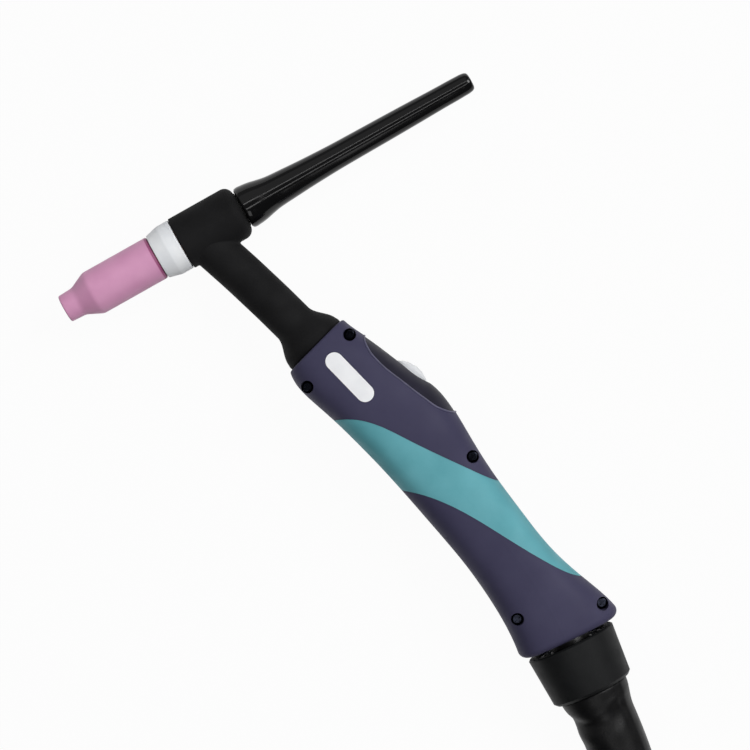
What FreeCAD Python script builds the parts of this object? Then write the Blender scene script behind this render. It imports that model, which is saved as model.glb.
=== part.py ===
import FreeCAD, Part
import math
import os

Vector = FreeCAD.Vector
os.makedirs("parts", exist_ok=True)

# The torch lies on its side. X runs to the right and Y up as one looks down on it, and Z is up.
# The origin is on the flat under the handle that it rests on. Lengths are in mm, angles in degrees.
mid_height = 21.0  # height of the plane where the two handle shells meet, and of every axis of the torch
running = 0.08  # radial clearance of a part that turns or slides in another
seat_gap = 0.2  # gap between fixed parts that are drawn together end to end
joint_gap = 0.3  # gap between parts that move against each other end to end
plate_gap = 0.15  # gap round an inlay or plate in its recess

# Handle: a curved grip, swollen at the trigger and flared at its rear
handle_front = (-55.6, 60.4)
handle_length = 172.5
handle_chord_heading = -49.7
handle_front_heading = -44.7
handle_rear_heading = -64.4
handle_half_depth = 21.8
handle_wall = 3.0
end_wall = 4.0
section_squareness = 1.4
rear_edge_round = 3.0
front_edge_round = 1.2
# Share of the length, half width on the trigger side, half width on the belly side, share of the half depth
handle_sections = [
    (0.0, 16.9, 16.7, 0.86),
    (0.055, 18.0, 19.2, 0.965),
    (0.125, 19.9, 18.9, 0.99),
    (0.22, 22.1, 18.5, 1.0),
    (0.325, 24.1, 18.8, 1.0),
    (0.42, 20.7, 19.4, 1.0),
    (0.52, 16.9, 20.0, 1.0),
    (0.645, 14.8, 20.1, 1.0),
    (0.76, 14.9, 20.2, 1.0),
    (0.865, 18.9, 20.5, 1.0),
    (0.94, 24.2, 21.0, 1.0),
    (1.0, 27.6, 21.9, 0.99),
]

# Shell screws, by distance along the handle, side (1 is the trigger side) and distance in from that side's
# edge. As in the lists below, a distance along that is below zero is counted back from the handle's rear.
screw_places = [(7.4, 1, 3.75), (10.2, -1, 3.3), (83.8, 1, 4.2), (-19.9, -1, 6.0), (-7.3, 1, 3.4)]
screw_recess_r = 2.9
screw_head_r = 2.55
screw_head_height = 2.0
screw_head_sunk = 1.0
screw_shank_r = 1.5
screw_fit = 0.05
screw_bite = 5.0  # how far each screw reaches into the lower shell's boss
screw_hole_r = 1.7
screw_boss_r = 4.2
cross_width = 0.8
cross_span = 3.0
cross_depth = 1.1

# Soft grip inlay: a band that runs over the handle from the belly to the trigger side
grip_thickness = 1.6
grip_front_edge = [
    (25.5, -25.0), (28.9, -18.6), (36.4, -10.8), (59.1, -1.2), (87.4, 9.5), (99.2, 15.3), (106.0, 21.0),
]
grip_rear_edge = [
    (-17.5, 24.0), (-24.3, 16.4), (-34.1, 10.2), (-55.9, 1.0), (-85.0, -9.8), (-99.7, -18.8), (-106.5, -26.0),
]

# Label plate: a bare white lozenge let into the upper shell
label_middle = (20.7, 0.5)
label_length = 27.5
label_width = 8.0
label_turn = -1.9
label_thickness = 0.5
label_proud = 0.1

# Trigger: its housing is the outer part of the handle beyond a boat-shaped edge
housing_edge = [
    (10.5, 24.0), (13.2, 17.6), (18.5, 15.2), (26.5, 14.4), (39.0, 15.6), (50.0, 16.9), (58.5, 18.6),
    (64.6, 22.3), (67.5, 29.0),
]
housing_sunk = 0.35
housing_flange = 2.4
trigger_along = 39.0
trigger_turn = 7.0  # the grip swells here, so the button's face is turned from the spine by this much
dip_radius = 38.0
dip_depth = 0.95
button_half_length = 8.3
button_half_width = 6.3
button_crown = 2.5
button_crown_radius = 13.0
button_clearance = 0.35
button_flange_rim = 1.5
button_flange_thickness = 1.4
button_travel = 1.5
button_roof = 3.3
switch_length = 19.8
switch_width = 6.4
switch_depth = 7.4
plunger_r = 1.3
plunger_gap = 0.3
plunger_height = 2.2
plunger_root = 1.6
carrier_half_length = 6.0
carrier_depth = 6.0
carrier_wall = 6.0
lead_r = 0.8
lead_spacing = 2.4
lead_route = [(64.0, 8.6), (84.0, 7.4), (104.0, 7.7), (120.0, 6.4)]

# Neck: three lengths of jacketed flexible tube, joined at two pivots
neck_r = 9.9
neck_tube_r = 6.0
neck_bore_r = 3.2
neck_front_length = 26.0
neck_middle_length = 20.0
neck_rear_length = 27.3
neck_front_heading = -41.5
neck_middle_heading = -43.2
pivot_gap = 0.3
pivot_set_back = 4.2
bell_r = 15.4
bell_mouth_r = 15.0
bell_rim = 1.0
bell_sweep = 8.0
bell_rise = 13.7
bell_lip = 4.5
spigot_r = 10.9
flange_r = 12.3
flange_thickness = 3.0
union_r = 8.4
union_length = 12.0
union_overlap = 9.0

# Head: distances along its axis are from the point where the neck's axis meets it, positive to the back cap
electrode_heading = 29.4
head_front = -8.5
head_rear = 22.8
head_r = 12.5
head_rear_round = 4.4
head_body_r = 8.8
body_set_back = 1.8
body_wall = 2.0
collet_room = 0.8
collet_shank_r = 4.9
collet_shank_end = 2.0
cap_plug_r = 5.9
cap_plug_front = 9.5
neck_stub_start = 6.0
saddle_fillet = 1.8

# Gasket and nozzle
gasket_length = 11.9
gasket_r = 12.15
gasket_front_r = 10.6
gasket_cone = 6.0
nozzle_length = 47.5
nozzle_tip_r = 6.45
nozzle_neck_r = 6.8
nozzle_barrel_r = 10.35
nozzle_bore_r = 4.8
nozzle_inner_r = 6.45
nozzle_taper_start = 7.2
nozzle_taper_end = 14.6
nozzle_thread_length = 13.0
thread_r = 6.75
shoulder_r = 6.9

# Collet body, collet and electrode
collet_body_nose = 26.5
collet_body_front_r = 5.2
collet_nose_r = 2.6
collet_stop = 3.7
gas_hole_set_back = 6.0
collet_r = 2.3
gas_hole_r = 0.9
gas_holes = 4
collet_slit = 0.5
collet_slit_length = 16.0
electrode_r = 1.2
electrode_length = 175.0
electrode_set_back = 3.2
electrode_point = 4.5

# Back cap
cap_length = 117.6
cap_gap = 0.6
cap_barrel_r = 9.9
cap_barrel_end = 6.2
cap_waist = 14.8
cap_waist_r = 7.7
cap_tip_r = 4.95
cap_chamfer = 5.0
cap_end_r = 3.7
cap_bore_r = 2.2
cap_end_wall = 8.0
oring_section_r = 1.1
oring_collar_r = 6.35

# Swivel at the rear of the handle
swivel_offset = 1.7
cup_gap = 2.3
cup_length = 24.0
cup_rim_r = 20.7
cup_end_r = 18.9
cup_chamfer = 1.3
ball_centre = 11.3
ball_r = 12.5
ball_bore_r = 6.2
stem_r = 9.5
ball_flange_r = 13.6
ball_flange_thickness = 2.8
ball_seat_r = 16.5
ball_seat_half_length = 6.0
retaining_ring_thickness = 1.6
retaining_ring_depth = 1.0
retaining_ring_width = 2.5
cup_hole_r = 9.0
cup_step = 2.3
cup_mouth = 0.5
ball_clearance = 0.35
inner_cable_r = 5.5
ferrule_r = 7.0
ferrule_length = 9.0
ferrule_fit = 0.02
inner_cable_setback = 1.2
inner_cable_route = [(62.0, -1.0), (84.0, -0.4), (108.0, 0.6), (138.0, 1.6)]

# Cable: a sleeved hose, its free stretch, and the rest of it put away as a coil
cable_r = 13.5
cuff_length = 14.0
cuff_start_r = 15.8
cuff_end_r = 14.0
cuff_flare = 0.2
cuff_band = 5.0
coil_gap = 0.6
coil_inner_r = 110.0
turns_in = 2.0
turns_out = 2.25
coil_start_x = 95.9
coil_middle_y = -325.0
tie_turns = [0.25, 0.5, 0.75]
tie_width = 16.0
tie_thickness = 0.75
tie_gap = 0.75
tie_corner_r = 10.0
cable_straight = 20.0
# Corners of the free stretch's route between its straight exit and the coil, from where the coil starts
cable_route = [(-9.3, 159.4, -22.2), (-2.5, 124.1, -19.8), (0.0, 84.2, -10.2), (0.0, 42.0, 0.0)]

# Far end: boot, power plug, gas nipple and the control lead with its plug
boot_length = 42.0
boot_collar = 1.0
boot_half_width = 22.5
boot_half_height = 14.0
boot_corner_r = 9.0
outlet_spacing = 17.6
sleeve_r = 12.5
sleeve_length = 58.0
sleeve_ribs = 6
sleeve_rib_start = 8.0
sleeve_rib_pitch = 6.0
sleeve_rib_width = 2.4
sleeve_rib_depth = 0.9
plug_pin_r = 6.5
plug_pin_length = 24.0
plug_pin_root = 14.0
plug_root_r = 5.0
plug_key_width = 4.0
plug_key_height = 2.2
plug_key_length = 10.0
plug_key_set_back = 3.0
nipple_r = 3.2
nipple_length = 22.0
nipple_collar_r = 4.4
nipple_collar_length = 5.0
nipple_barbs = 3
nipple_barb_pitch = 5.0
nipple_barb_r = 4.2
nipple_bore_r = 1.8
lead_outer_r = 2.75
control_plug_r = 8.0
control_plug_length = 27.0
control_plug_tail_r = 3.95
control_spigot_r = 6.9
control_ring_r = 9.2
control_ring_length = 13.0
control_face_depth = 2.0
control_pin_r = 0.8
control_pin_length = 1.7
control_pin_circle_r = 3.6
control_pins = 5
# Corners of the control lead's route from where it leaves the boot; the last is where its plug starts
control_route = [
    (-11.7, 0.0, 0.0), (-27.7, -0.9, -5.5), (-43.7, -2.5, -11.6), (-60.7, -1.9, -12.0),
    (-77.7, 2.3, -12.0), (-92.7, 11.7, -11.8), (-103.2, 25.7, -9.8), (-107.7, 41.7, -5.4),
    (-107.7, 55.7, -5.4),
]


def heading_vector(heading):
    """Unit vector in the XY plane at this angle from +X."""
    return Vector(math.cos(math.radians(heading)), math.sin(math.radians(heading)), 0)


def rounded_wire(corners):
    """Closed wire in the XY plane through (x, y, radius) corners, each rounded by an arc of its radius."""
    count = len(corners)
    points = [Vector(x, y, 0) for x, y, radius in corners]
    arcs = []
    for index, (x, y, radius) in enumerate(corners):
        here = points[index]
        back = (points[index - 1] - here).normalize()
        ahead = (points[(index + 1) % count] - here).normalize()
        if radius == 0:
            arcs.append((here, None, here))
            continue
        half = back.getAngle(ahead) / 2
        middle = (back + ahead).normalize()
        reach = radius / math.tan(half)
        top = here + middle * (radius / math.sin(half) - radius)
        arcs.append((here + back * reach, top, here + ahead * reach))
    edges = []
    for index, (start, top, end) in enumerate(arcs):
        if top is not None:
            edges.append(Part.Arc(start, top, end).toShape())
        following = arcs[(index + 1) % count][0]
        if end.distanceToPoint(following) > 1e-6:
            edges.append(Part.LineSegment(end, following).toShape())
    return Part.Wire(edges)


def placed(shape, origin, heading):
    """A copy whose own +X is turned to the heading and whose own origin is moved to the given point."""
    copy = shape.copy()
    copy.rotate(Vector(0, 0, 0), Vector(0, 0, 1), heading)
    copy.translate(origin)
    return copy


def turned(corners, origin, heading):
    """A turned part: corners are (distance along the axis, radius, rounding) and close on themselves."""
    face = Part.Face(rounded_wire(corners))
    return placed(face.revolve(Vector(0, 0, 0), Vector(1, 0, 0), 360), origin, heading)


def ring(start, end, outer, inner, origin, heading):
    """A plain tube along the heading."""
    return turned([(start, inner, 0), (start, outer, 0), (end, outer, 0), (end, inner, 0)], origin, heading)


def rod(start, end, radius, origin, heading):
    """A plain cylinder along the heading."""
    axis = heading_vector(heading)
    return Part.makeCylinder(radius, end - start, origin + axis * start, axis)


def post(centre, radius, low, high):
    """An upright cylinder between two heights."""
    return Part.makeCylinder(radius, high - low, Vector(centre.x, centre.y, low))


def block(origin, heading, along, across, heights):
    """A box with its sides along the heading; each size is a (low, high) pair from the origin."""
    box = Part.makeBox(along[1] - along[0], across[1] - across[0], heights[1] - heights[0])
    box.translate(Vector(along[0], across[0], heights[0]))
    return placed(box, origin, heading)


def tube_path(points):
    """Straight runs joined by tangent arcs, each as large as the shorter of its two runs allows."""
    edges = []
    start = points[0]
    radii = []
    for before, here, after in zip(points[:-2], points[1:-1], points[2:]):
        back = before - here
        ahead = after - here
        reach = 0.45 * min(back.Length, ahead.Length)
        back.normalize()
        ahead.normalize()
        half_turn = (math.pi - back.getAngle(ahead)) / 2
        radius = reach / math.tan(half_turn)
        radii.append(radius)
        bow = (back + ahead).normalize()
        top = here + bow * (radius / math.cos(half_turn) - radius)
        edges.append(Part.LineSegment(start, here + back * reach).toShape())
        edges.append(Part.Arc(here + back * reach, top, here + ahead * reach).toShape())
        start = here + ahead * reach
    edges.append(Part.LineSegment(start, points[-1]).toShape())
    return Part.Wire(edges), radii


def swept(path, radius, start, direction):
    """A round tube along a path."""
    circle = Part.Wire(Part.Circle(start, direction, radius).toShape())
    return path.makePipeShell([circle], True, False)


def save(name, shape):
    """Write one piece, or one group of like pieces, to its STEP file."""
    shape.exportStep("parts/" + name + ".step")


# Handle: its spine and the smooth body that the shells, the inlays and the trigger housing are cut from
front_point = Vector(handle_front[0], handle_front[1], mid_height)
front_axis = (front_point, handle_front_heading)
rear_point = front_point + heading_vector(handle_chord_heading) * handle_length
spine = Part.BezierCurve()
spine.setPoles([
    front_point,
    front_point + heading_vector(handle_front_heading) * (handle_length / 3),
    rear_point - heading_vector(handle_rear_heading) * (handle_length / 3),
    rear_point,
])
spine_length = spine.length()


def from_front(along):
    """Distance along the spine from its front; one below zero is counted back from its rear."""
    return along + spine_length if along < 0 else along


def handle_heading(along):
    """Heading of the spine at a distance along it."""
    tangent = spine.tangent(spine.parameterAtDistance(from_front(along), 0))[0]
    return math.degrees(math.atan2(tangent.y, tangent.x))


def handle_point(along, across, height=mid_height):
    """Point at a distance along the spine and across it, positive to the trigger side."""
    centre = spine.value(spine.parameterAtDistance(from_front(along), 0))
    side = heading_vector(handle_heading(along) + 90)
    return Vector(centre.x + side.x * across, centre.y + side.y * across, height)


def section_sizes(along):
    """Half widths and half depth of the handle at a distance along it, between its listed sections."""
    share = from_front(along) / spine_length
    for one, two in zip(handle_sections[:-1], handle_sections[1:]):
        if share <= two[0] + 1e-9:
            part = (share - one[0]) / (two[0] - one[0])
            return [a + (b - a) * part for a, b in zip(one[1:], two[1:])]
    return list(handle_sections[-1][1:])


def section_wire(along, inset):
    """Closed section of the handle: four rational quarter curves, drawn in by the inset."""
    trigger, belly, depth = section_sizes(along)
    trigger, belly = trigger - inset, belly - inset
    depth = depth * handle_half_depth - inset
    side = heading_vector(handle_heading(along) + 90)
    centre = handle_point(along, 0)
    up = Vector(0, 0, depth)
    rim = [side * trigger, up, side * -belly, up * -1]
    edges = []
    for first, second in zip(rim, rim[1:] + rim[:1]):
        quarter = Part.BezierCurve()
        quarter.setPoles([centre + first, centre + first + second, centre + second])
        quarter.setWeight(2, section_squareness)
        edges.append(quarter.toShape())
    return Part.Wire(edges)


def handle_body(inset, from_front, from_rear):
    """The handle's smooth form, drawn in by the inset and shortened at its ends."""
    low, high = from_front, spine_length - from_rear
    stations = [share * spine_length for share, *rest in handle_sections]
    stations = [low] + [s for s in stations if low + 2 < s < high - 2] + [high]
    return Part.makeLoft([section_wire(s, inset) for s in stations], True)


def surface_height(along, across):
    """Height of the handle's upper surface above its middle plane."""
    trigger, belly, depth = section_sizes(along)
    share = abs(across) / (trigger if across > 0 else belly)
    low, k = 1 - share, section_squareness
    ratio = (2 * k * low + math.sqrt(4 * k * k * low * low + 4 * share * low)) / (2 * share)
    return depth * handle_half_depth * (ratio * ratio + 2 * k * ratio) / (1 + 2 * k * ratio + ratio * ratio)


def plan_prism(first_edge, second_edge):
    """Upright prism over a region of the handle seen from above, between two smooth curves."""
    curves = []
    for edge in (first_edge, second_edge):
        curve = Part.BSplineCurve()
        curve.interpolate([handle_point(along, across) for along, across in edge])
        curves.append(curve)
    first, second = curves
    outline = Part.Wire([
        first.toShape(),
        Part.LineSegment(first.EndPoint, second.StartPoint).toShape(),
        second.toShape(),
        Part.LineSegment(second.EndPoint, first.StartPoint).toShape(),
    ])
    outline.translate(Vector(0, 0, -2 * handle_half_depth))
    return Part.Face(outline).extrude(Vector(0, 0, 4 * handle_half_depth))


def slab(low, high):
    """A wide flat layer between two heights, to divide the handle with."""
    reach = 2 * handle_length
    return Part.makeBox(2 * reach, 2 * reach, high - low, Vector(-reach, -reach, low))



def end_edges(shape, origin, heading):
    """Edges that lie in the plane across the heading at a point."""
    across = heading_vector(heading)
    return [
        edge for edge in shape.Edges
        if all(abs((point - origin).dot(across)) < 1e-4 for point in edge.discretize(5))
    ]


handle_outer = handle_body(0.0, 0.0, 0.0)
rear_edges = end_edges(handle_outer, rear_point, handle_rear_heading)
handle_outer = handle_outer.makeFillet(rear_edge_round, rear_edges)
front_edges = end_edges(handle_outer, *front_axis)
handle_outer = handle_outer.makeFillet(front_edge_round, front_edges)
handle_cavity = handle_body(handle_wall, end_wall, end_wall)
upper_half = slab(mid_height, 3 * mid_height)
lower_half = slab(0, mid_height)

# Swivel axis, from the middle of the handle's rear face outwards
swivel_heading = handle_rear_heading
swivel_origin = handle_point(spine_length, swivel_offset)
swivel_axis = (swivel_origin, swivel_heading)

# Grip inlay and its seat
under_skin = handle_body(grip_thickness, 0.0, 0.0)
skin = handle_outer.cut(under_skin)
grip_band = plan_prism(grip_front_edge, grip_rear_edge)
grip_seat_band = plan_prism(
    [(along - plate_gap, across) for along, across in grip_front_edge],
    [(along + plate_gap, across) for along, across in grip_rear_edge],
)
grip = skin.common(grip_band)
save("grip_inlay_upper", grip.common(upper_half))
save("grip_inlay_lower", grip.common(lower_half))

# Label plate and its recess
label_origin = handle_point(label_middle[0], label_middle[1], 0)
label_heading = handle_heading(label_middle[0]) + label_turn


def rectangle(width, height, corner):
    """Closed wire of a rectangle about the origin, with rounded corners."""
    half, rise = width / 2, height / 2
    corners = [(-half, -rise), (half, -rise), (half, rise), (-half, rise)]
    return rounded_wire([(x, y, corner) for x, y in corners])


def lozenge(width, length):
    """Upright prism with round ends, about the label's middle."""
    face = Part.Face(rectangle(length, width, width / 2 - 0.001))
    prism = face.extrude(Vector(0, 0, 3 * mid_height))
    return placed(prism, label_origin, label_heading).common(upper_half)


label_floor = handle_body(label_thickness - label_proud, 0.0, 0.0)
label_top = handle_body(-label_proud, 0.0, 0.0)
label_layer = label_top.cut(label_floor)
save("label_plate", label_layer.common(lozenge(label_width, label_length)))
label_recess = label_layer.common(lozenge(label_width + 2 * plate_gap, label_length + 2 * plate_gap))

# Trigger housing: the handle's own form beyond the boat-shaped edge, with a flange behind the shells' walls
beyond = 2 * handle_half_depth
far_edge = [(along, beyond) for along in (housing_edge[-1][0], trigger_along, housing_edge[0][0])]
housing_zone = plan_prism(housing_edge, far_edge)
housing_opening = plan_prism([(along, across - plate_gap) for along, across in housing_edge], far_edge)
flange_zone = plan_prism([(along, across - housing_flange) for along, across in housing_edge], far_edge)
housing = handle_body(housing_sunk, 0.0, 0.0).common(housing_zone)
housing = housing.fuse(handle_body(handle_wall + plate_gap, end_wall, end_wall).common(flange_zone))
trigger_heading = handle_heading(trigger_along) + trigger_turn
trigger_out = heading_vector(trigger_heading + 90)
trigger_origin = handle_point(trigger_along, section_sizes(trigger_along)[0])


def in_trigger(along, outwards):
    """Point in the handle's middle plane: along the trigger, and outwards from the handle's surface."""
    return trigger_origin + heading_vector(trigger_heading) * along + trigger_out * outwards


def flat_oval(half_length, half_width, low, high):
    """Oval prism between two distances outwards along Y, before it is put on the trigger's face."""
    face = Part.Face(Part.Wire(Part.Ellipse(Vector(0, 0, 0), half_length, half_width).toShape()))
    prism = face.extrude(Vector(0, 0, high - low))
    prism.rotate(Vector(0, 0, 0), Vector(1, 0, 0), -90)
    prism.translate(Vector(0, low, 0))
    return prism


def oval(half_length, half_width, low, high):
    """Oval prism that stands on the trigger's face, between two distances outwards from it."""
    return placed(flat_oval(half_length, half_width, low, high), trigger_origin, trigger_heading)


flange_top = -dip_depth - button_roof
flange_bottom = flange_top - button_flange_thickness
switch_top = flange_bottom - plunger_gap - plunger_height
switch_floor = switch_top - switch_depth
pocket_length = button_half_length + button_flange_rim + button_clearance
pocket_width = button_half_width + button_flange_rim + button_clearance
trigger_frame = (trigger_origin, trigger_heading)
dip_centre = in_trigger(0, dip_radius - dip_depth)
housing = housing.cut(post(dip_centre, dip_radius, 0, 2 * mid_height))
window_length = button_half_length + button_clearance
window_width = button_half_width + button_clearance
housing = housing.cut(oval(window_length, window_width, flange_top - 1, 2 * button_crown))
housing = housing.cut(oval(pocket_length, pocket_width, switch_floor, flange_top + joint_gap))
carrier_top = flange_bottom - button_travel - joint_gap
for side in (-1, 1):
    inner = switch_width / 2
    heights = sorted((side * inner, side * (inner + carrier_wall)))
    housing = housing.fuse(block(
        *trigger_frame, (-carrier_half_length, carrier_half_length),
        (switch_floor + switch_depth - carrier_depth, carrier_top), heights,
    ))
half_length, half_width = switch_length / 2 + seat_gap, switch_width / 2 + seat_gap
switch_nest = (-half_length, half_length), (switch_floor - 1, switch_top), (-half_width, half_width)
housing = housing.cut(block(*trigger_frame, *switch_nest))
save("switch_housing", housing.removeSplitter())

button = flat_oval(button_half_length, button_half_width, flange_bottom, button_crown)
crown_centre = Vector(0, button_crown - button_crown_radius, 0)
button = placed(button.common(Part.makeSphere(button_crown_radius, crown_centre)), trigger_origin, trigger_heading)
button_flange = oval(
    button_half_length + button_flange_rim, button_half_width + button_flange_rim, flange_bottom, flange_top
)
save("trigger_button", button.fuse(button_flange).removeSplitter())
print("trigger slide axis", [round(-c, 4) for c in trigger_out], "at", [round(c, 2) for c in trigger_origin])

half_switch = (-switch_length / 2, switch_length / 2)
switch_heights = (-switch_width / 2, switch_width / 2)
microswitch = block(*trigger_frame, half_switch, (switch_floor, switch_top), switch_heights)
plunger_start = switch_top - plunger_root
plunger_floor = plunger_start - button_travel
bore_foot = in_trigger(0, plunger_floor)
plunger_bore = Part.makeCylinder(plunger_r + running, switch_depth, bore_foot, trigger_out)
save("microswitch_body", microswitch.cut(plunger_bore))
plunger_length = plunger_root + plunger_height
plunger = Part.makeCylinder(plunger_r, plunger_length, in_trigger(0, plunger_start), trigger_out)
save("microswitch_plunger", plunger)

# Shells
shell = handle_outer.cut(handle_cavity)
screw_tip = mid_height - screw_bite
bosses = []
screws = []
for along, side, inset in screw_places:
    trigger, belly, depth = section_sizes(along)
    across = (trigger if side > 0 else belly) - inset
    centre = handle_point(along, side * across)
    rim_height = mid_height + surface_height(along, side * (across + screw_head_r))
    seat = rim_height - screw_head_sunk - screw_head_height
    bosses.append((centre, seat))
    shell = shell.fuse(post(centre, screw_boss_r, 0, 2 * mid_height + 5).common(handle_outer))
shell = shell.cut(rod(-1, end_wall, spigot_r + plate_gap, *front_axis))
flange_end = end_wall + flange_thickness
shell = shell.cut(rod(end_wall, flange_end + seat_gap, flange_r + seat_gap, *front_axis))
shell = shell.cut(rod(-end_wall - 1, 1, stem_r + plate_gap, *swivel_axis))
ball_flange_front = -end_wall - ball_flange_thickness
shell = shell.cut(rod(ball_flange_front - seat_gap, -end_wall, ball_flange_r + seat_gap, *swivel_axis))
for centre, seat in bosses:
    shell = shell.cut(post(centre, screw_recess_r, seat, 3 * mid_height))
    shell = shell.cut(post(centre, screw_hole_r, mid_height, seat + 1))
    shell = shell.cut(post(centre, screw_shank_r + screw_fit, screw_tip - seat_gap, mid_height))
    head_top = seat + screw_head_height
    shank = post(centre, screw_shank_r, screw_tip, seat)
    screw = post(centre, screw_head_r, seat, head_top).fuse(shank)
    rim_edges = [
        edge for edge in screw.Edges
        if abs(edge.BoundBox.ZMin - head_top) < 1e-6 and abs(edge.BoundBox.ZMax - head_top) < 1e-6
    ]
    screw = screw.makeFillet(screw_head_height * 0.4, rim_edges)
    for turn in (0, 90):
        slot = block(
            Vector(centre.x, centre.y, head_top), turn + handle_front_heading,
            (-cross_span / 2, cross_span / 2), (-cross_width / 2, cross_width / 2), (-cross_depth, 1),
        )
        screw = screw.cut(slot)
    screws.append(screw.removeSplitter())
save("handle_screws", Part.makeCompound(screws))
shell = shell.cut(skin.common(grip_seat_band))
shell = shell.cut(label_recess)
shell = shell.cut(housing_opening)
save("handle_shell_upper", shell.common(upper_half))
save("handle_shell_lower", shell.common(lower_half))

# Neck: pivots are counted back from the handle's front face
rear_pivot = front_point - heading_vector(handle_front_heading) * neck_rear_length
front_pivot = rear_pivot - heading_vector(neck_middle_heading) * neck_middle_length
head_origin = front_pivot - heading_vector(neck_front_heading) * neck_front_length
head_axis = (head_origin, electrode_heading)
print("neck pivots", [round(c, 2) for c in front_pivot], [round(c, 2) for c in rear_pivot])
print("head", [round(c, 2) for c in head_origin])


def socket_end(shape, pivot, heading):
    """Cut a length of the neck back from its pivot, with a hollow that clears the ball."""
    shape = shape.cut(Part.makeSphere(neck_r + pivot_gap, pivot))
    return shape.cut(rod(-pivot_set_back, 2 * neck_r, 2 * neck_r, pivot, heading))


def ball_end(shape, pivot):
    """Round off the front of a length of the neck to a ball about its pivot."""
    return shape.fuse(Part.makeSphere(neck_r, pivot))


neck_bore = neck_tube_r + running


def neck_tube(pivot, heading, start, end):
    """Metal tube inside the jacket; lengths are from the pivot."""
    return ring(start, end, neck_tube_r, neck_bore_r, pivot, heading)


def trimmed_to_ball(tube, pivot, heading):
    """Keep what lies behind the pivot, and inside the ball in front of it."""
    behind = tube.common(rod(0, handle_length, 2 * neck_r, pivot, heading))
    return behind.fuse(tube.common(Part.makeSphere(neck_r, pivot))).removeSplitter()


middle = ball_end(rod(0, neck_middle_length, neck_r, front_pivot, neck_middle_heading), front_pivot)
middle_bore = rod(-2 * neck_r, neck_middle_length + neck_r, neck_bore, front_pivot, neck_middle_heading)
middle = middle.cut(middle_bore)
save("neck_jacket_middle", socket_end(middle, rear_pivot, neck_middle_heading).removeSplitter())
middle_tube = neck_tube(front_pivot, neck_middle_heading, -neck_r, neck_middle_length)
middle_tube = middle_tube.cut(Part.makeSphere(neck_r + pivot_gap, rear_pivot))
save("neck_tube_middle", trimmed_to_ball(middle_tube, front_pivot, neck_middle_heading))

bell = turned([
    (-neck_rear_length, 0, 0), (-neck_rear_length, neck_r, 0),
    (-bell_rise, neck_r, bell_sweep), (-bell_lip, bell_mouth_r, 4.0), (-bell_rim, bell_r, 0.5), (0, bell_mouth_r, 0),
    (0, spigot_r, 0), (end_wall, spigot_r, 0), (end_wall, flange_r, 0), (flange_end, flange_r, 0),
    (flange_end, 0, 0),
], *front_axis)
rear_jacket = ball_end(bell, rear_pivot)
rear_jacket = rear_jacket.cut(rod(-neck_rear_length - 2 * neck_r, 2 * end_wall, neck_bore, *front_axis))
save("neck_jacket_rear", rear_jacket.removeSplitter())
union_start = flange_end + 2 * seat_gap
tube_reach = union_start + union_overlap
rear_tube = neck_tube(rear_pivot, handle_front_heading, -neck_r, neck_rear_length + tube_reach)
save("neck_tube_rear", trimmed_to_ball(rear_tube, rear_pivot, handle_front_heading))

# Head jacket, head body and the front length of neck tube
jacket = turned([
    (head_front, 0, 0), (head_front, head_r, 0.5), (head_rear, head_r, head_rear_round), (head_rear, 0, 0),
], *head_axis)
stub = rod(neck_stub_start, neck_front_length, neck_r, head_origin, neck_front_heading)
joined = jacket.fuse(stub)
crease = [edge for edge in joined.Edges if "BSpline" in edge.Curve.TypeId and edge.Length > neck_r]
rounded = joined.makeFillet(saddle_fillet, crease)
rounded = rounded.cut(rod(head_front - 1, head_rear + 1, head_body_r + running, *head_axis))
rounded = rounded.cut(rod(0, neck_front_length + neck_r, neck_bore, head_origin, neck_front_heading))
save("head_jacket", socket_end(rounded, front_pivot, neck_front_heading).removeSplitter())

body_rear = head_rear - body_set_back
head_body = rod(head_front, body_rear, head_body_r, *head_axis)
head_body = head_body.cut(rod(0, 2 * head_r, neck_tube_r + running, head_origin, neck_front_heading))
shank_seat = rod(head_front - 1, collet_shank_end + seat_gap, collet_shank_r + running, *head_axis)
collet_bore = rod(head_front - 1, body_rear + 1, collet_r + collet_room, *head_axis)
plug_seat = rod(cap_plug_front - seat_gap - 1, body_rear + 1, cap_plug_r + running, *head_axis)
head_body = head_body.cut(shank_seat).cut(collet_bore).cut(plug_seat)
save("head_body", head_body.removeSplitter())
front_tube = neck_tube(head_origin, neck_front_heading, 0, neck_front_length)
front_tube = front_tube.cut(rod(head_front - 1, 2 * head_r, head_body_r - body_wall, *head_axis))
front_tube = front_tube.cut(Part.makeSphere(neck_r + pivot_gap, front_pivot))
save("neck_tube_front", front_tube)

# Gasket, nozzle, collet body, collet and electrode, along the head's axis
gasket_rear = head_front - joint_gap
gasket_front = gasket_rear - gasket_length
gasket_bore = shoulder_r + running
save("nozzle_gasket", turned([
    (gasket_front, gasket_bore, 0), (gasket_front, gasket_front_r, 0.4),
    (gasket_front + gasket_cone, gasket_r, 3.0), (gasket_rear, gasket_r, 0.5), (gasket_rear, gasket_bore, 0),
], *head_axis))

nozzle_rear = gasket_front - joint_gap
nozzle_tip = nozzle_rear - nozzle_length
nozzle_shoulder = nozzle_tip + nozzle_taper_end
thread_start = nozzle_rear - nozzle_thread_length
save("ceramic_nozzle", turned([
    (nozzle_tip, nozzle_bore_r, 0.5), (nozzle_tip, nozzle_tip_r, 0.8),
    (nozzle_tip + nozzle_taper_start, nozzle_neck_r, 6.0), (nozzle_shoulder, nozzle_barrel_r, 5.0),
    (nozzle_rear, nozzle_barrel_r, 0.9), (nozzle_rear, thread_r + running, 0),
    (thread_start, thread_r + running, 0), (nozzle_shoulder + 2.0, nozzle_inner_r, 0),
    (nozzle_shoulder - 1.0, nozzle_bore_r, 0),
], *head_axis))

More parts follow.
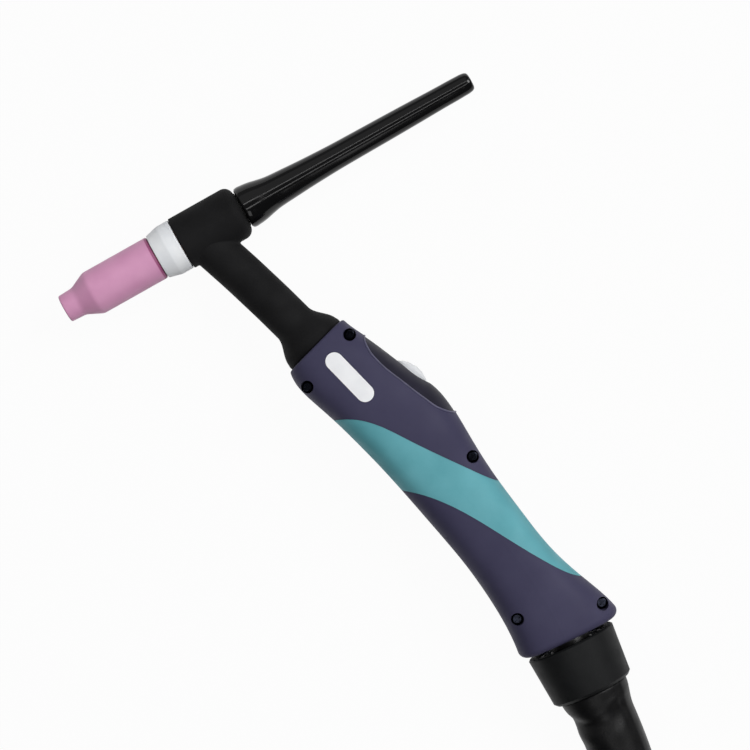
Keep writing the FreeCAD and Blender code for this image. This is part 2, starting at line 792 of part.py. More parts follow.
body_nose = nozzle_rear - collet_body_nose
collet_front = body_nose + collet_stop
collet_body = turned([
    (body_nose, 0, 0), (body_nose, collet_nose_r, 0), (body_nose + 3.0, collet_body_front_r, 0),
    (thread_start - 0.6, collet_body_front_r, 0), (thread_start + 0.6, thread_r, 0),
    (gasket_front, thread_r, 0), (gasket_front, shoulder_r, 0), (head_front, shoulder_r, 0),
    (head_front, collet_shank_r, 0), (collet_shank_end, collet_shank_r, 0), (collet_shank_end, 0, 0),
], *head_axis)
collet_seat = rod(collet_front - seat_gap, collet_shank_end + 1, collet_r + running, *head_axis)
nose_bore = rod(body_nose - 1, collet_front, electrode_r + seat_gap, *head_axis)
collet_body = collet_body.cut(collet_seat).cut(nose_bore)
hole_place = head_origin + heading_vector(electrode_heading) * (body_nose + gas_hole_set_back)
for number in range(gas_holes):
    hole = Part.makeCylinder(gas_hole_r, 2 * thread_r, hole_place, Vector(0, 0, 1))
    hole.rotate(hole_place, heading_vector(electrode_heading), 360 / gas_holes * number + 45)
    collet_body = collet_body.cut(hole)
save("collet_body", collet_body)

collet_rear = cap_plug_front - joint_gap
collet = ring(collet_front, collet_rear, collet_r, electrode_r + running / 2, *head_axis)
slit_reach = (collet_front - 1, collet_front + collet_slit_length)
narrow = (-collet_slit / 2, collet_slit / 2)
wide = (-2 * collet_r, 2 * collet_r)
collet = collet.cut(block(*head_axis, slit_reach, narrow, wide))
collet = collet.cut(block(*head_axis, slit_reach, wide, narrow))
save("collet", collet)

electrode_tip = nozzle_tip + electrode_set_back
save("tungsten_electrode", turned([
    (electrode_tip, 0, 0), (electrode_tip, 0.25, 0), (electrode_tip + electrode_point, electrode_r, 0),
    (electrode_tip + electrode_length, electrode_r, 0.3), (electrode_tip + electrode_length, 0, 0),
], *head_axis))

# Back cap and its O-ring
cap_front = head_rear + cap_gap
cap_collar_r = oring_collar_r - running / 2
cap_end = cap_front + cap_length
oring_place = (body_rear + cap_front) / 2
oring = Part.makeTorus(oring_collar_r + oring_section_r, oring_section_r, Vector(0, 0, 0), Vector(1, 0, 0))
oring.translate(Vector(oring_place, 0, 0))
save("back_cap_oring", placed(oring, *head_axis))
save("back_cap", turned([
    (cap_plug_front, cap_bore_r, 0), (cap_plug_front, cap_plug_r, 0), (body_rear + seat_gap, cap_plug_r, 0),
    (body_rear + seat_gap, cap_collar_r, 0), (cap_front, cap_collar_r, 0),
    (cap_front, cap_barrel_r, 1.4), (cap_front + cap_barrel_end, cap_barrel_r, 4.0),
    (cap_front + cap_waist, cap_waist_r, 6.0), (cap_end - cap_chamfer, cap_tip_r, 1.5),
    (cap_end, cap_end_r, 0.5), (cap_end, 0, 0), (cap_end - cap_end_wall, 0, 0),
    (cap_end - cap_end_wall, cap_bore_r, 0),
], *head_axis))
print("screw seats", [round(seat, 1) for centre, seat in bosses], "screw tips", screw_tip)
print("electrode axis", [round(c, 4) for c in heading_vector(electrode_heading)])

# Union and cable inside the handle
corner_angles = [math.radians(60 * n) for n in range(7)]
hexagon = Part.makePolygon([Vector(0, union_r * math.cos(a), union_r * math.sin(a)) for a in corner_angles])
union = Part.Face(hexagon).extrude(Vector(union_length, 0, 0))
union.translate(Vector(union_start, 0, 0))
union = placed(union, *front_axis)
union_end = union_start + union_length
ferrule_end = union_end + ferrule_length
union = union.cut(rod(union_start - 1, tube_reach + seat_gap, neck_tube_r + running, *front_axis))
union = union.cut(rod(union_start - 1, union_end + 1, neck_bore_r, *front_axis))
save("neck_union", union)
save("cable_ferrule", ring(union_end, ferrule_end, ferrule_r, inner_cable_r + ferrule_fit, *front_axis))
cable_start = front_point + heading_vector(handle_front_heading) * union_end
swivel_out = heading_vector(swivel_heading)
inner_route = [
    cable_start,
    cable_start + heading_vector(handle_front_heading) * (2 * ferrule_length),
    *[handle_point(along, across) for along, across in inner_cable_route],
    swivel_origin - swivel_out * 8.0,
    swivel_origin + swivel_out * (cup_gap + cup_length - inner_cable_setback),
]
inner_path, inner_radii = tube_path(inner_route)
save("inner_cable", swept(inner_path, inner_cable_r, cable_start, heading_vector(handle_front_heading)))
print("inner cable radii", [round(r) for r in inner_radii])

# Switch leads: a pair of wires from the microswitch back along the cable
lead_start = in_trigger(switch_length / 2, (switch_floor + switch_top) / 2)
lead_points = [lead_start] + [handle_point(along, across) for along, across in lead_route]
leads = []
for side in (-1, 1):
    shift = Vector(0, 0, side * lead_spacing / 2)
    lead_path, lead_radii = tube_path([point + shift for point in lead_points])
    leads.append(swept(lead_path, lead_r, lead_start + shift, heading_vector(trigger_heading)))
save("switch_leads", Part.makeCompound(leads))

# Swivel: ball on the handle, seat ring and retaining ring in the cup
ball_middle = swivel_origin + swivel_out * ball_centre
ball = rod(-end_wall - ball_flange_thickness, -end_wall, ball_flange_r, *swivel_axis)
ball = ball.fuse(rod(-end_wall, ball_centre, stem_r, *swivel_axis))
ball = ball.fuse(Part.makeSphere(ball_r, ball_middle))
ball = ball.cut(rod(-2 * ball_r, 3 * ball_r, ball_bore_r, *swivel_axis))
save("swivel_ball", ball.removeSplitter())
print("ball centre", [round(c, 2) for c in ball_middle], "swivel axis", [round(c, 4) for c in swivel_out])

seat_front = ball_centre - ball_seat_half_length
seat_rear = ball_centre + ball_seat_half_length
seat_ring = rod(seat_front, seat_rear, ball_seat_r, *swivel_axis)
save("ball_seat_ring", seat_ring.cut(Part.makeSphere(ball_r + running, ball_middle)))

snap_rear = seat_front - running
snap_front = snap_rear - retaining_ring_thickness
snap_outer = ball_seat_r + retaining_ring_depth
snap_inner = ball_seat_r - retaining_ring_width
save("retaining_ring", ring(snap_front, snap_rear, snap_outer, snap_inner, *swivel_axis))

cup_rear = cup_gap + cup_length
cup_floor = ball_centre + math.sqrt((ball_r + ball_clearance) ** 2 - cup_hole_r ** 2)
cup_bore = ball_seat_r + running
cup_ledge = seat_rear + running
groove_r = snap_outer + running
groove_front = snap_front - running
save("swivel_cup", turned([
    (cup_gap, cup_bore + cup_mouth, 0), (cup_gap, cup_rim_r - cup_chamfer / 2, 0),
    (cup_gap + cup_chamfer / 2, cup_rim_r, 0), (cup_rear - cup_chamfer, cup_end_r, 0),
    (cup_rear, cup_end_r - cup_chamfer, 0), (cup_rear, cup_hole_r, 0),
    (cup_floor, cup_hole_r, 0), (cup_floor, cup_bore - cup_step, 0), (cup_ledge, cup_bore - cup_step, 0),
    (cup_ledge, cup_bore, 0), (seat_front, cup_bore, 0), (seat_front, groove_r, 0),
    (groove_front, groove_r, 0), (groove_front, cup_bore + cup_mouth, 0),
], *swivel_axis))

# Cable cover: cuff, free stretch and the put-away coil
cuff_rear = cup_rear + cuff_length
save("cover_cuff", turned([
    (cup_rear, cable_r, 0), (cup_rear, cuff_start_r, 0.6), (cup_rear + cuff_band, cuff_start_r, 3.0),
    (cuff_rear, cuff_end_r + cuff_flare, 0.4), (cuff_rear, cable_r + cuff_flare, 0),
    (cup_rear + cuff_length / 2, cable_r, 0),
], *swivel_axis))

coil_pitch = 2 * cable_r + coil_gap
low_layer = tie_gap + tie_thickness + cable_r
high_layer = low_layer + coil_pitch
all_turns = turns_in + turns_out
coil_centre = Vector(coil_start_x - coil_inner_r - coil_pitch * turns_in, coil_middle_y, 0)


def coil_point(turn):
    """Middle of the tube after this many turns: clockwise, in on the upper layer and out on the lower."""
    radius = coil_inner_r + coil_pitch * abs(turn - turns_in)
    share = min(max((turn - turns_in) * 2 + 0.5, 0), 1)
    height = high_layer - coil_pitch * share * share * (3 - 2 * share)
    return coil_centre + heading_vector(-360 * turn) * radius + Vector(0, 0, height)


def coil_direction(turn):
    """Direction of the tube after this many turns."""
    step = 0.01
    return (coil_point(turn + step) - coil_point(turn - step)).normalize()


def arc_between(start, corner, end):
    """Tangent arc from start to end; the corner is where their tangents meet."""
    middle = (start + end) * 0.5
    half_chord = start.distanceToPoint(end) / 2
    bow = corner - middle
    turn = math.atan2(bow.Length, half_chord)
    top = middle + bow.normalize() * (half_chord * math.tan(turn / 2))
    return Part.Arc(start, top, end).toShape()


def biarc(start, start_direction, end, end_direction):
    """Two tangent arcs between two points with given directions."""
    span = end - start
    both = span.dot(start_direction + end_direction)
    bend = 2 * (1 - start_direction.dot(end_direction))
    reach = (math.sqrt(both * both + bend * span.dot(span)) - both) / bend
    first = start + start_direction * reach
    second = end - end_direction * reach
    join = (first + second) * 0.5
    return [arc_between(start, first, join), arc_between(join, second, end)]


start_heading = -90.0
far_heading = start_heading - 360 * all_turns
tail_length = 2 * cable_r  # straight ends of the coil
coil_start = coil_point(0) - heading_vector(start_heading) * tail_length
coil_end = coil_point(all_turns) + heading_vector(far_heading) * tail_length
quarters = round(all_turns * 4)
turns_at_stops = [all_turns * number / quarters for number in range(quarters + 1)]
stops = [[coil_point(turn), coil_direction(turn)] for turn in turns_at_stops]
stops[0][1] = heading_vector(start_heading)
stops[-1][1] = heading_vector(far_heading)
coil_edges = [Part.LineSegment(coil_start, stops[0][0]).toShape()]
for (start, start_direction), (end, end_direction) in zip(stops[:-1], stops[1:]):
    coil_edges += biarc(start, start_direction, end, end_direction)
coil_edges.append(Part.LineSegment(stops[-1][0], coil_end).toShape())
coil_path = Part.Wire(coil_edges)
coil = swept(coil_path, cable_r, coil_start, heading_vector(start_heading))
save("cable_coil", coil)


def least_gap(path, radius):
    """Least gap between stretches of a tube that are more than three of its diameters apart along it."""
    points = path.discretize(Distance=radius / 3)
    skip = 22
    least = min(
        one.distanceToPoint(two)
        for index, one in enumerate(points)
        for two in points[index + skip::2]
    )
    return least - 2 * radius


print("coil length", round(coil_path.Length), "least self-gap", round(least_gap(coil_path, cable_r), 2))
print("coil volume share", round(coil.Volume / (math.pi * cable_r ** 2 * coil_path.Length), 4))
print("coil centre", [round(c, 2) for c in coil_centre], "layers", round(low_layer, 2), round(high_layer, 2))

cable_exit = swivel_origin + swivel_out * cup_rear
cable_points = [cable_exit, cable_exit + swivel_out * cable_straight]
cable_points += [coil_start + Vector(*offset) for offset in cable_route] + [coil_start]
cover_path, cover_radii = tube_path(cable_points)
cover = swept(cover_path, cable_r, cable_exit, swivel_out)
save("cable_cover", cover)
print("cable cover from", [round(c, 2) for c in cable_exit], "length", round(cover_path.Length))
print("cable cover radii", [round(r) for r in cover_radii])
print("cover volume share", round(cover.Volume / (math.pi * cable_r ** 2 * cover_path.Length), 4))

# Ties: straps round the coil's bundle, which hold it off the floor by their thickness
ties = []
for place in tie_turns:
    passes = [coil_point(place + n) - coil_centre for n in range(int(all_turns - place) + 1)]
    radii = [math.hypot(p.x, p.y) for p in passes]
    heights = [p.z for p in passes]
    middle = heading_vector(-360 * place) * ((min(radii) + max(radii)) / 2)
    middle = coil_centre + middle + Vector(0, 0, (min(heights) + max(heights)) / 2)
    spread, rise = max(radii) - min(radii), max(heights) - min(heights)
    loops = []
    for gap in (tie_gap, tie_gap + tie_thickness):
        round_cable = 2 * (cable_r + gap)
        loops.append(rectangle(spread + round_cable, rise + round_cable, tie_corner_r + gap))
    strap = Part.Face([loops[1], loops[0]]).extrude(Vector(0, 0, tie_width))
    strap.translate(Vector(0, 0, -tie_width / 2))
    strap.rotate(Vector(0, 0, 0), Vector(1, 0, 0), 90)
    ties.append(placed(strap, middle, -360 * place))
save("coil_ties", Part.makeCompound(ties))

# Boot: gathers the cable's end and lets out the power plug, the gas nipple and the control lead
far_out = heading_vector(far_heading)
far_side = heading_vector(far_heading + 90)


def boot_section(along, half_width, half_height, corner):
    """Rounded rectangle across the cable at a distance from its end."""
    wire = rectangle(2 * half_width, 2 * half_height, corner)
    wire.rotate(Vector(0, 0, 0), Vector(1, 0, 0), 90)
    wire.rotate(Vector(0, 0, 0), Vector(0, 0, 1), 90)
    wire.translate(Vector(along, 0, 0))
    return wire


collar_r = cable_r + boot_collar
collar_section = (collar_r, collar_r, collar_r - 0.01)
outlet_section = (boot_half_width, boot_half_height, boot_corner_r)
stations = [
    (0, *collar_section), (boot_length * 0.25, *collar_section),
    (boot_length * 0.75, *outlet_section), (boot_length, *outlet_section),
]
boot = Part.makeLoft([boot_section(*station) for station in stations], True, True)
save("cable_boot", placed(boot, coil_end, far_heading))

sleeve_end = boot_length + sleeve_length
pin_start = sleeve_end - plug_pin_root
groove_floor_r = sleeve_r - sleeve_rib_depth
sleeve_outline = [(boot_length, 0, 0), (boot_length, sleeve_r, 0)]
for number in range(sleeve_ribs):
    groove = boot_length + sleeve_rib_start + number * sleeve_rib_pitch
    sleeve_outline += [
        (groove, sleeve_r, 0), (groove, groove_floor_r, 0),
        (groove + sleeve_rib_width, groove_floor_r, 0), (groove + sleeve_rib_width, sleeve_r, 0),
    ]
sleeve_outline += [
    (sleeve_end, sleeve_r, 1.2), (sleeve_end, plug_root_r, 0), (pin_start, plug_root_r, 0),
    (pin_start, 0, 0),
]
save("power_plug_sleeve", turned(sleeve_outline, coil_end, far_heading))

pin_end = sleeve_end + plug_pin_length
pin = turned([
    (pin_start, 0, 0), (pin_start, plug_root_r, 0), (sleeve_end, plug_root_r, 0),
    (sleeve_end, plug_pin_r, 0), (pin_end, plug_pin_r, 1.0), (pin_end, 0, 0),
], coil_end, far_heading)
key_end = pin_end - plug_key_set_back
key = block(
    coil_end, far_heading, (key_end - plug_key_length, key_end),
    (-plug_key_width / 2, plug_key_width / 2), (0, plug_pin_r + plug_key_height),
)
save("power_plug_pin", pin.fuse(key).removeSplitter())

nipple_origin = coil_end - far_side * outlet_spacing
nipple_end = boot_length + nipple_length
collar_end = boot_length + nipple_collar_length
nipple_outline = [
    (boot_length, nipple_bore_r, 0), (boot_length, nipple_collar_r, 0), (collar_end, nipple_collar_r, 0),
    (collar_end, nipple_r, 0),
]
for number in range(nipple_barbs):
    barb = nipple_end - (nipple_barbs - number) * nipple_barb_pitch
    nipple_outline += [(barb, nipple_r, 0), (barb, nipple_barb_r, 0)]
nipple_outline += [(nipple_end, nipple_r, 0), (nipple_end, nipple_bore_r, 0)]
save("gas_nipple", turned(nipple_outline, nipple_origin, far_heading))

# Control lead and its plug
lead_exit = coil_end + far_side * outlet_spacing + far_out * boot_length
control_points = [lead_exit] + [
    lead_exit + far_out * -out - far_side * side + Vector(0, 0, rise) for out, side, rise in control_route
]
control_path, control_radii = tube_path(control_points)
control_lead = swept(control_path, lead_outer_r, lead_exit, far_out)
save("control_lead", control_lead)
print("control lead from", [round(c, 2) for c in lead_exit], "length", round(control_path.Length))
print("control lead radii", [round(r) for r in control_radii])
lead_share = control_lead.Volume / (math.pi * lead_outer_r ** 2 * control_path.Length)
print("control lead volume share", round(lead_share, 4))

plug_origin = control_points[-1]
plug_heading = far_heading - 90
ring_start = control_plug_length + joint_gap
ring_end = ring_start + control_ring_length
plug_face = ring_end - control_face_depth
save("control_plug_body", turned([
    (0, 0, 0), (0, control_plug_tail_r, 0.5), (control_plug_length * 0.35, control_plug_r, 3.0),
    (control_plug_length, control_plug_r, 0), (control_plug_length, control_spigot_r, 0),
    (plug_face, control_spigot_r, 0), (plug_face, 0, 0),
], plug_origin, plug_heading))
save("control_plug_ring", turned([
    (ring_start, control_spigot_r + running, 0), (ring_start, control_ring_r, 0.6),
    (ring_end, control_ring_r, 0.6), (ring_end, control_spigot_r + running, 0),
], plug_origin, plug_heading))
plug_out = heading_vector(plug_heading)
plug_side = heading_vector(plug_heading - 90)
contacts = []
for number in range(control_pins):
    angle = 2 * math.pi * number / control_pins
    offset = plug_side * math.cos(angle) + Vector(0, 0, math.sin(angle))
    foot = plug_origin + plug_out * plug_face + offset * control_pin_circle_r
    contacts.append(Part.makeCylinder(control_pin_r, control_pin_length, foot, plug_out))
save("control_plug_pins", Part.makeCompound(contacts))
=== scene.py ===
import math

import bpy
import numpy as np
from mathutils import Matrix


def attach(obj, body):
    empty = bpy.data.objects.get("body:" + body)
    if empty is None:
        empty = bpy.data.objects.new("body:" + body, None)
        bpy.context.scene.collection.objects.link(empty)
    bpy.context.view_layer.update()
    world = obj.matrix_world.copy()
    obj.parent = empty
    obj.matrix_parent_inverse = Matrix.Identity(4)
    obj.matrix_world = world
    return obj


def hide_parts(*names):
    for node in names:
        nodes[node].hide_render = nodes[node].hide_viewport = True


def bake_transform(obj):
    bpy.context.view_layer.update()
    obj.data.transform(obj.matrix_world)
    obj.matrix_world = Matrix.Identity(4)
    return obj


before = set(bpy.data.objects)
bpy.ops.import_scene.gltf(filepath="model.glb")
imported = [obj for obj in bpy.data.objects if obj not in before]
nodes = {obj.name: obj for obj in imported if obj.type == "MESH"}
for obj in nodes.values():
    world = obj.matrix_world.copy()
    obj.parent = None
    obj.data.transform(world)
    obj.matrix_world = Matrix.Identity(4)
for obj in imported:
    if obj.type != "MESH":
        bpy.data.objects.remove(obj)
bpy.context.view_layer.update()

scene = bpy.context.scene

# View: the torch lies on its side and is seen straight from above, through a long lens that shows hardly
# any of its sides. The picture is 750 by 750 and shows 337.5 mm at the height of the torch's axis.
torch_height = 0.021
picture_width = 0.3375
picture_middle = (-0.02925, 0.04725)
lens = 135.0
film = 36.0
camera_data = bpy.data.cameras.new("view")
camera_data.lens = lens
camera_data.sensor_width = film
camera_data.clip_end = 20.0
camera = bpy.data.objects.new("view", camera_data)
camera.location = picture_middle + (torch_height + picture_width * lens / film,)
scene.collection.objects.link(camera)
scene.camera = camera
scene.view_settings.view_transform = "Standard"

# Bench and light: a white paper table in a pale room. The main lamp stands beyond the picture's upper right
# corner, a weaker one below its lower edge and a wide faint one beyond the upper left. Two long tubes hang
# overhead along the back cap, whose gloss shows them as two lines.
head_heading = math.radians(29.4)
across_head = (-0.49, 0.87)
table_half = 6.0
paper_white = 0.96
room_dim, room_bright = 0.07, 0.24
tube_height = 1.6


def node_material(name):
    """A material with its node tree and its shader to hand."""
    made = bpy.data.materials.new(name)
    made.use_nodes = True
    return made, made.node_tree, made.node_tree.nodes["Principled BSDF"]


def add(tree, kind, operation=None, **sockets):
    """A node of a kind in a tree, with the values of its numbered (in0, in1) or named sockets."""
    made = tree.nodes.new(kind)
    if operation:
        made.operation = operation
    for socket, value in sockets.items():
        key = int(socket[2:]) if socket.startswith("in") else socket.replace("_", " ")
        made.inputs[key].default_value = value
    return made


def wire(tree, source, output, target, socket):
    """Join one node's output to another node's input."""
    tree.links.new(source.outputs[output], target.inputs[socket])


def put_mesh(name, points, faces, crease=None):
    """A piece from an array of points and a list of faces, smooth except at edges sharper than the crease."""
    mesh = bpy.data.meshes.new(name)
    mesh.from_pydata(np.asarray(points, float).tolist(), [], [list(map(int, face)) for face in faces])
    mesh.polygons.foreach_set("use_smooth", [True] * len(mesh.polygons))
    if crease:
        mesh.set_sharp_from_angle(angle=math.radians(crease))
    mesh.update()
    piece = bpy.data.objects.new(name, mesh)
    scene.collection.objects.link(piece)
    return piece


def lamp(name, place, width, height, power, aim=(0, 0, 0)):
    """A soft rectangular lamp at a place, turned to face a point."""
    data = bpy.data.lights.new(name, "AREA")
    data.shape = "RECTANGLE"
    data.size = width
    data.size_y = height
    data.energy = power
    made = bpy.data.objects.new(name, data)
    made.location = place
    toward = np.array(aim) - np.array(place)
    made.rotation_euler = (
        math.acos(-toward[2] / np.linalg.norm(toward)), 0, math.atan2(toward[1], toward[0]) - math.pi / 2,
    )
    scene.collection.objects.link(made)
    return made


# The paper is white to the eye, but a small share of its own grey keeps the torch's soft shadow on it.
paper, paper_tree, paper_shader = node_material("white paper")
paper_shader.inputs["Base Color"].default_value = (0.5, 0.5, 0.5, 1)
paper_shader.inputs["Roughness"].default_value = 0.9
paper_glow = add(paper_tree, "ShaderNodeEmission", Color=(1, 1, 1, 1), Strength=1.0)
paper_rays = add(paper_tree, "ShaderNodeLightPath")
paper_seen = add(paper_tree, "ShaderNodeMath", "MAXIMUM")
wire(paper_tree, paper_rays, "Is Camera Ray", paper_seen, 0)
wire(paper_tree, paper_rays, "Is Glossy Ray", paper_seen, 1)
paper_share = add(paper_tree, "ShaderNodeMath", "MULTIPLY", in1=paper_white)
wire(paper_tree, paper_seen, "Value", paper_share, 0)
paper_mix = add(paper_tree, "ShaderNodeMixShader")
wire(paper_tree, paper_share, "Value", paper_mix, 0)
wire(paper_tree, paper_shader, "BSDF", paper_mix, 1)
wire(paper_tree, paper_glow, "Emission", paper_mix, 2)
wire(paper_tree, paper_mix, "Shader", paper_tree.nodes["Material Output"], "Surface")
table_corners = [(x * table_half, y * table_half, 0) for x, y in ((-1, -1), (1, -1), (1, 1), (-1, 1))]
table = put_mesh("table", table_corners, [(0, 1, 2, 3)])
table.data.materials.append(paper)

# The room is white to the eye but dim to the torch, and brighter towards the picture's upper left.
room = bpy.data.worlds.new("room")
room.use_nodes = True
room_tree = room.node_tree
room_place = add(room_tree, "ShaderNodeTexCoord")
room_side = add(room_tree, "ShaderNodeVectorMath", "DOT_PRODUCT", in1=across_head + (0.0,))
wire(room_tree, room_place, "Generated", room_side, 0)
room_level = add(
    room_tree, "ShaderNodeMapRange", From_Min=-0.2, From_Max=0.35, To_Min=room_dim, To_Max=room_bright,
)
wire(room_tree, room_side, "Value", room_level, "Value")
room_rays = add(room_tree, "ShaderNodeLightPath")
room_seen = add(room_tree, "ShaderNodeMath", "MAXIMUM")
wire(room_tree, room_level, "Result", room_seen, 0)
wire(room_tree, room_rays, "Is Camera Ray", room_seen, 1)
wire(room_tree, room_seen, "Value", room_tree.nodes["Background"], "Strength")
room_tree.nodes["Background"].inputs["Color"].default_value = (1, 1, 1, 1)
scene.world = room

lamp("main lamp", place=(1.38, 1.01, 1.9), width=1.2, height=1.2, power=39)
lamp("fill lamp", place=(0.3, -1.2, 1.4), width=1.0, height=1.0, power=6)
lamp("wide lamp", place=(-0.75, 1.3, 1.5), width=2.4, height=1.6, power=4)
for number, offset in enumerate((-0.27, 0.55)):
    above = (across_head[0] * offset, across_head[1] * offset)
    tube = lamp("tube %d" % (number + 1), above + (tube_height,), 1.5, 0.12, 3.0, aim=above + (0,))
    tube.rotation_euler = (0, 0, head_heading)

# Sleeved cable: the power and gas hose and the switch wires run in one black sleeve with a lengthwise
# seam. It leaves the swivel cup, droops to the bench, and all but its first stretch is coiled and tied.
sleeve_r = 0.0135
cable_exit = np.array((0.06887, -0.09414, 0.021))
cable_out = np.array((0.432086, -0.901833, 0.0))
exit_straight = 0.020
coil_start = np.array((0.0959, -0.298, 0.0426))
droop = np.array((
    (-0.0093, 0.1594, -0.0222), (-0.0025, 0.1241, -0.0198), (0.0, 0.0842, -0.0102), (0.0, 0.0420, 0.0),
    (0.0, 0.0, 0.0),
))
coil_middle = np.array((-0.0693, -0.325))
coil_inner_r = 0.110
coil_pitch = 0.0276
coil_top = 0.0426
layer_change = 2.0
turns = 4.25
per_turn = 24
cable_end = np.array((-0.0963, -0.4971, 0.015))
folded_length = 0.26
fine_step, coarse_step = 0.0014, 0.005


def eased(share):
    """Smooth step: 3x^2 - 2x^3 of the share between 0 and 1."""
    held = np.clip(share, 0, 1)
    return held * held * (3 - 2 * held)


def coil_layer(turned):
    """Radius and height of the coil's middle line after some turns: it winds inwards on top, one pitch a
    turn, sinks by one pitch within half a turn round the change of layer, and winds outwards below."""
    radius = coil_inner_r + coil_pitch * np.abs(turned - layer_change)
    return radius, coil_top - coil_pitch * eased((turned - layer_change) * 2 + 0.5)


def nurbs_route(name, points):
    """One smooth open curve that takes the route's points as its control points."""
    curve = bpy.data.curves.new(name, "CURVE")
    curve.dimensions = "3D"
    line = curve.splines.new("NURBS")
    line.points.add(len(points) - 1)
    line.points.foreach_set("co", np.column_stack((points, np.ones(len(points)))).ravel())
    line.order_u = 3
    line.use_endpoint_u = True
    line.resolution_u = 12
    carrier = bpy.data.objects.new(name, curve)
    scene.collection.objects.link(carrier)
    bpy.context.view_layer.update()
    drawn = bpy.data.meshes.new_from_object(carrier)
    path = np.empty(len(drawn.vertices) * 3)
    drawn.vertices.foreach_get("co", path)
    bpy.data.objects.remove(carrier)
    bpy.data.meshes.remove(drawn)
    return path.reshape(-1, 3)


def lengths_along(points):
    """Distance of each point from the first, counted along the straight runs between them."""
    return np.concatenate(([0], np.cumsum(np.linalg.norm(np.diff(points, axis=0), axis=1))))


def spaced(path, shares):
    """Points of a path at the given shares of its length, and that length."""
    steps = lengths_along(path)
    at = np.asarray(shares) * steps[-1]
    return np.column_stack([np.interp(at, steps, path[:, k]) for k in range(3)]), steps[-1]


def grid_skin(name, grid, width, looped=False, crease=None):
    """A closed piece from a grid of points, rows by steps round; row i joins row i + 1 and each row closes on
    itself. The first and last rows are joined too if looped, and else closed by a fan. Faces are turned so
    that the enclosed volume is positive. UV "unrolled": u = share round x width, v = length along rows."""
    rows, around = grid.shape[:2]
    points = grid.reshape(-1, 3)
    row, step = np.meshgrid(np.arange(rows if looped else rows - 1), np.arange(around), indexing="ij")
    beyond = (row + 1) % rows * around
    following = (step + 1) % around
    quads = np.stack(
        (row * around + step, row * around + following, beyond + following, beyond + step), axis=-1,
    ).reshape(-1, 4)
    a, b, c, d = (points[quads[:, k]] for k in range(4))
    volume = np.sum(a * np.cross(b, c)) + np.sum(a * np.cross(c, d))
    faces = quads.tolist()
    if not looped:
        points = np.concatenate((points, grid[[0, -1]].mean(axis=1)))
        start, last = rows * around, (rows - 1) * around
        faces += [(start, (k + 1) % around, k) for k in range(around)]
        faces += [(start + 1, last + k, last + (k + 1) % around) for k in range(around)]
    if volume < 0:
        faces = [face[::-1] for face in faces]
    piece = put_mesh(name, points, faces, crease)
    along = lengths_along(grid.mean(axis=1))
    corner = np.empty(len(piece.data.loops), int)
    piece.data.loops.foreach_get("vertex_index", corner)
    sizes = [len(face) for face in faces]
    first = np.repeat(np.cumsum([0] + sizes[:-1]), sizes)
    row, step = np.divmod(np.minimum(corner, rows * around - 1), around)
    across = step / around
    across = across + ((np.abs(across - across[first]) > 0.5) & (across < 0.5))
    unrolled = piece.data.uv_layers.new(name="unrolled")
    unrolled.data.foreach_set("uv", np.column_stack((across * width, along[row])).ravel())
    return piece


def tube_skin(name, points, radius):
    """A closed tube: point (i, j) lies at the path's point i, plus radius(i, j) in the direction of j."""
    along = np.gradient(points, axis=0)
    along /= np.linalg.norm(along, axis=1)[:, None]
    side = np.cross(along, (0, 0, 1))
    side /= np.linalg.norm(side, axis=1)[:, None]
    up = np.cross(side, along)
    angle = np.linspace(0, 2 * np.pi, radius.shape[1], endpoint=False)
    ring = side[:, None, :] * np.cos(angle)[None, :, None] + up[:, None, :] * np.sin(angle)[None, :, None]
    return grid_skin(name, points[:, None, :] + ring * radius[:, :, None], 2 * np.pi * radius.mean())


def fold(height, side, middle, half_width):
    """A smooth fold across the sleeve at the distances "far" along it: height x side x e to minus
    ((far - middle) / half width)^2."""
    return height * side * np.exp(-((far - middle) / half_width) ** 2)


def written(colour):
    """A colour written as six hex digits, as the linear values that a shader takes."""
    share = np.array([int(colour[at:at + 2], 16) for at in (0, 2, 4)]) / 255
    return tuple(np.where(share > 0.04045, ((share + 0.055) / 1.055) ** 2.4, share / 12.92)) + (1.0,)


def noise_of(tree, place, size, detail):
    """Soft noise whose lumps have a given size in metres, read from a place output."""
    made = add(tree, "ShaderNodeTexNoise", Scale=1 / size, Detail=detail)
    tree.links.new(place, made.inputs["Vector"])
    return made


def ramp(tree, source, output, *stops):
    """A colour ramp over a value, from stops of position and written colour."""
    made = add(tree, "ShaderNodeValToRGB")
    elements = made.color_ramp.elements
    while len(elements) < len(stops):
        elements.new(1.0)
    for element, (position, colour) in zip(elements, sorted(stops)):
        element.position = position
        element.color = written(colour)
    wire(tree, source, output, made, "Fac")
    return made


def finish(name, dark, light, patch, smooth, rough, grain, depth, metal=0.0, shine=0.5, uv=None):
    """A finish that drifts over its piece: colour from dark to light and roughness from smooth to rough, each
    by soft noise with lumps of the patch size, and height = depth x noise with lumps of the grain size."""
    made, tree, shader = node_material(name)
    if uv:
        source = add(tree, "ShaderNodeUVMap")
        source.uv_map = uv
        place = source.outputs["UV"]
    else:
        place = add(tree, "ShaderNodeTexCoord").outputs["Object"]
    drift = noise_of(tree, place, patch, 4)
    tint = ramp(tree, drift, "Fac", (0.33, dark), (0.67, light))
    wire(tree, tint, "Color", shader, "Base Color")
    wear = noise_of(tree, place, patch * 0.37, 5)
    gloss = add(tree, "ShaderNodeMapRange", From_Min=0.33, From_Max=0.67, To_Min=smooth, To_Max=rough)
    wire(tree, wear, "Fac", gloss, "Value")
    wire(tree, gloss, "Result", shader, "Roughness")
    lumps = noise_of(tree, place, grain, 2)
    bump = add(tree, "ShaderNodeBump", Strength=1.0, Distance=depth)
    wire(tree, lumps, "Fac", bump, "Height")
    wire(tree, bump, "Normal", shader, "Normal")
    shader.inputs["Metallic"].default_value = metal
    shader.inputs["Specular IOR Level"].default_value = shine
    return made, tree, shader, place, tint, bump


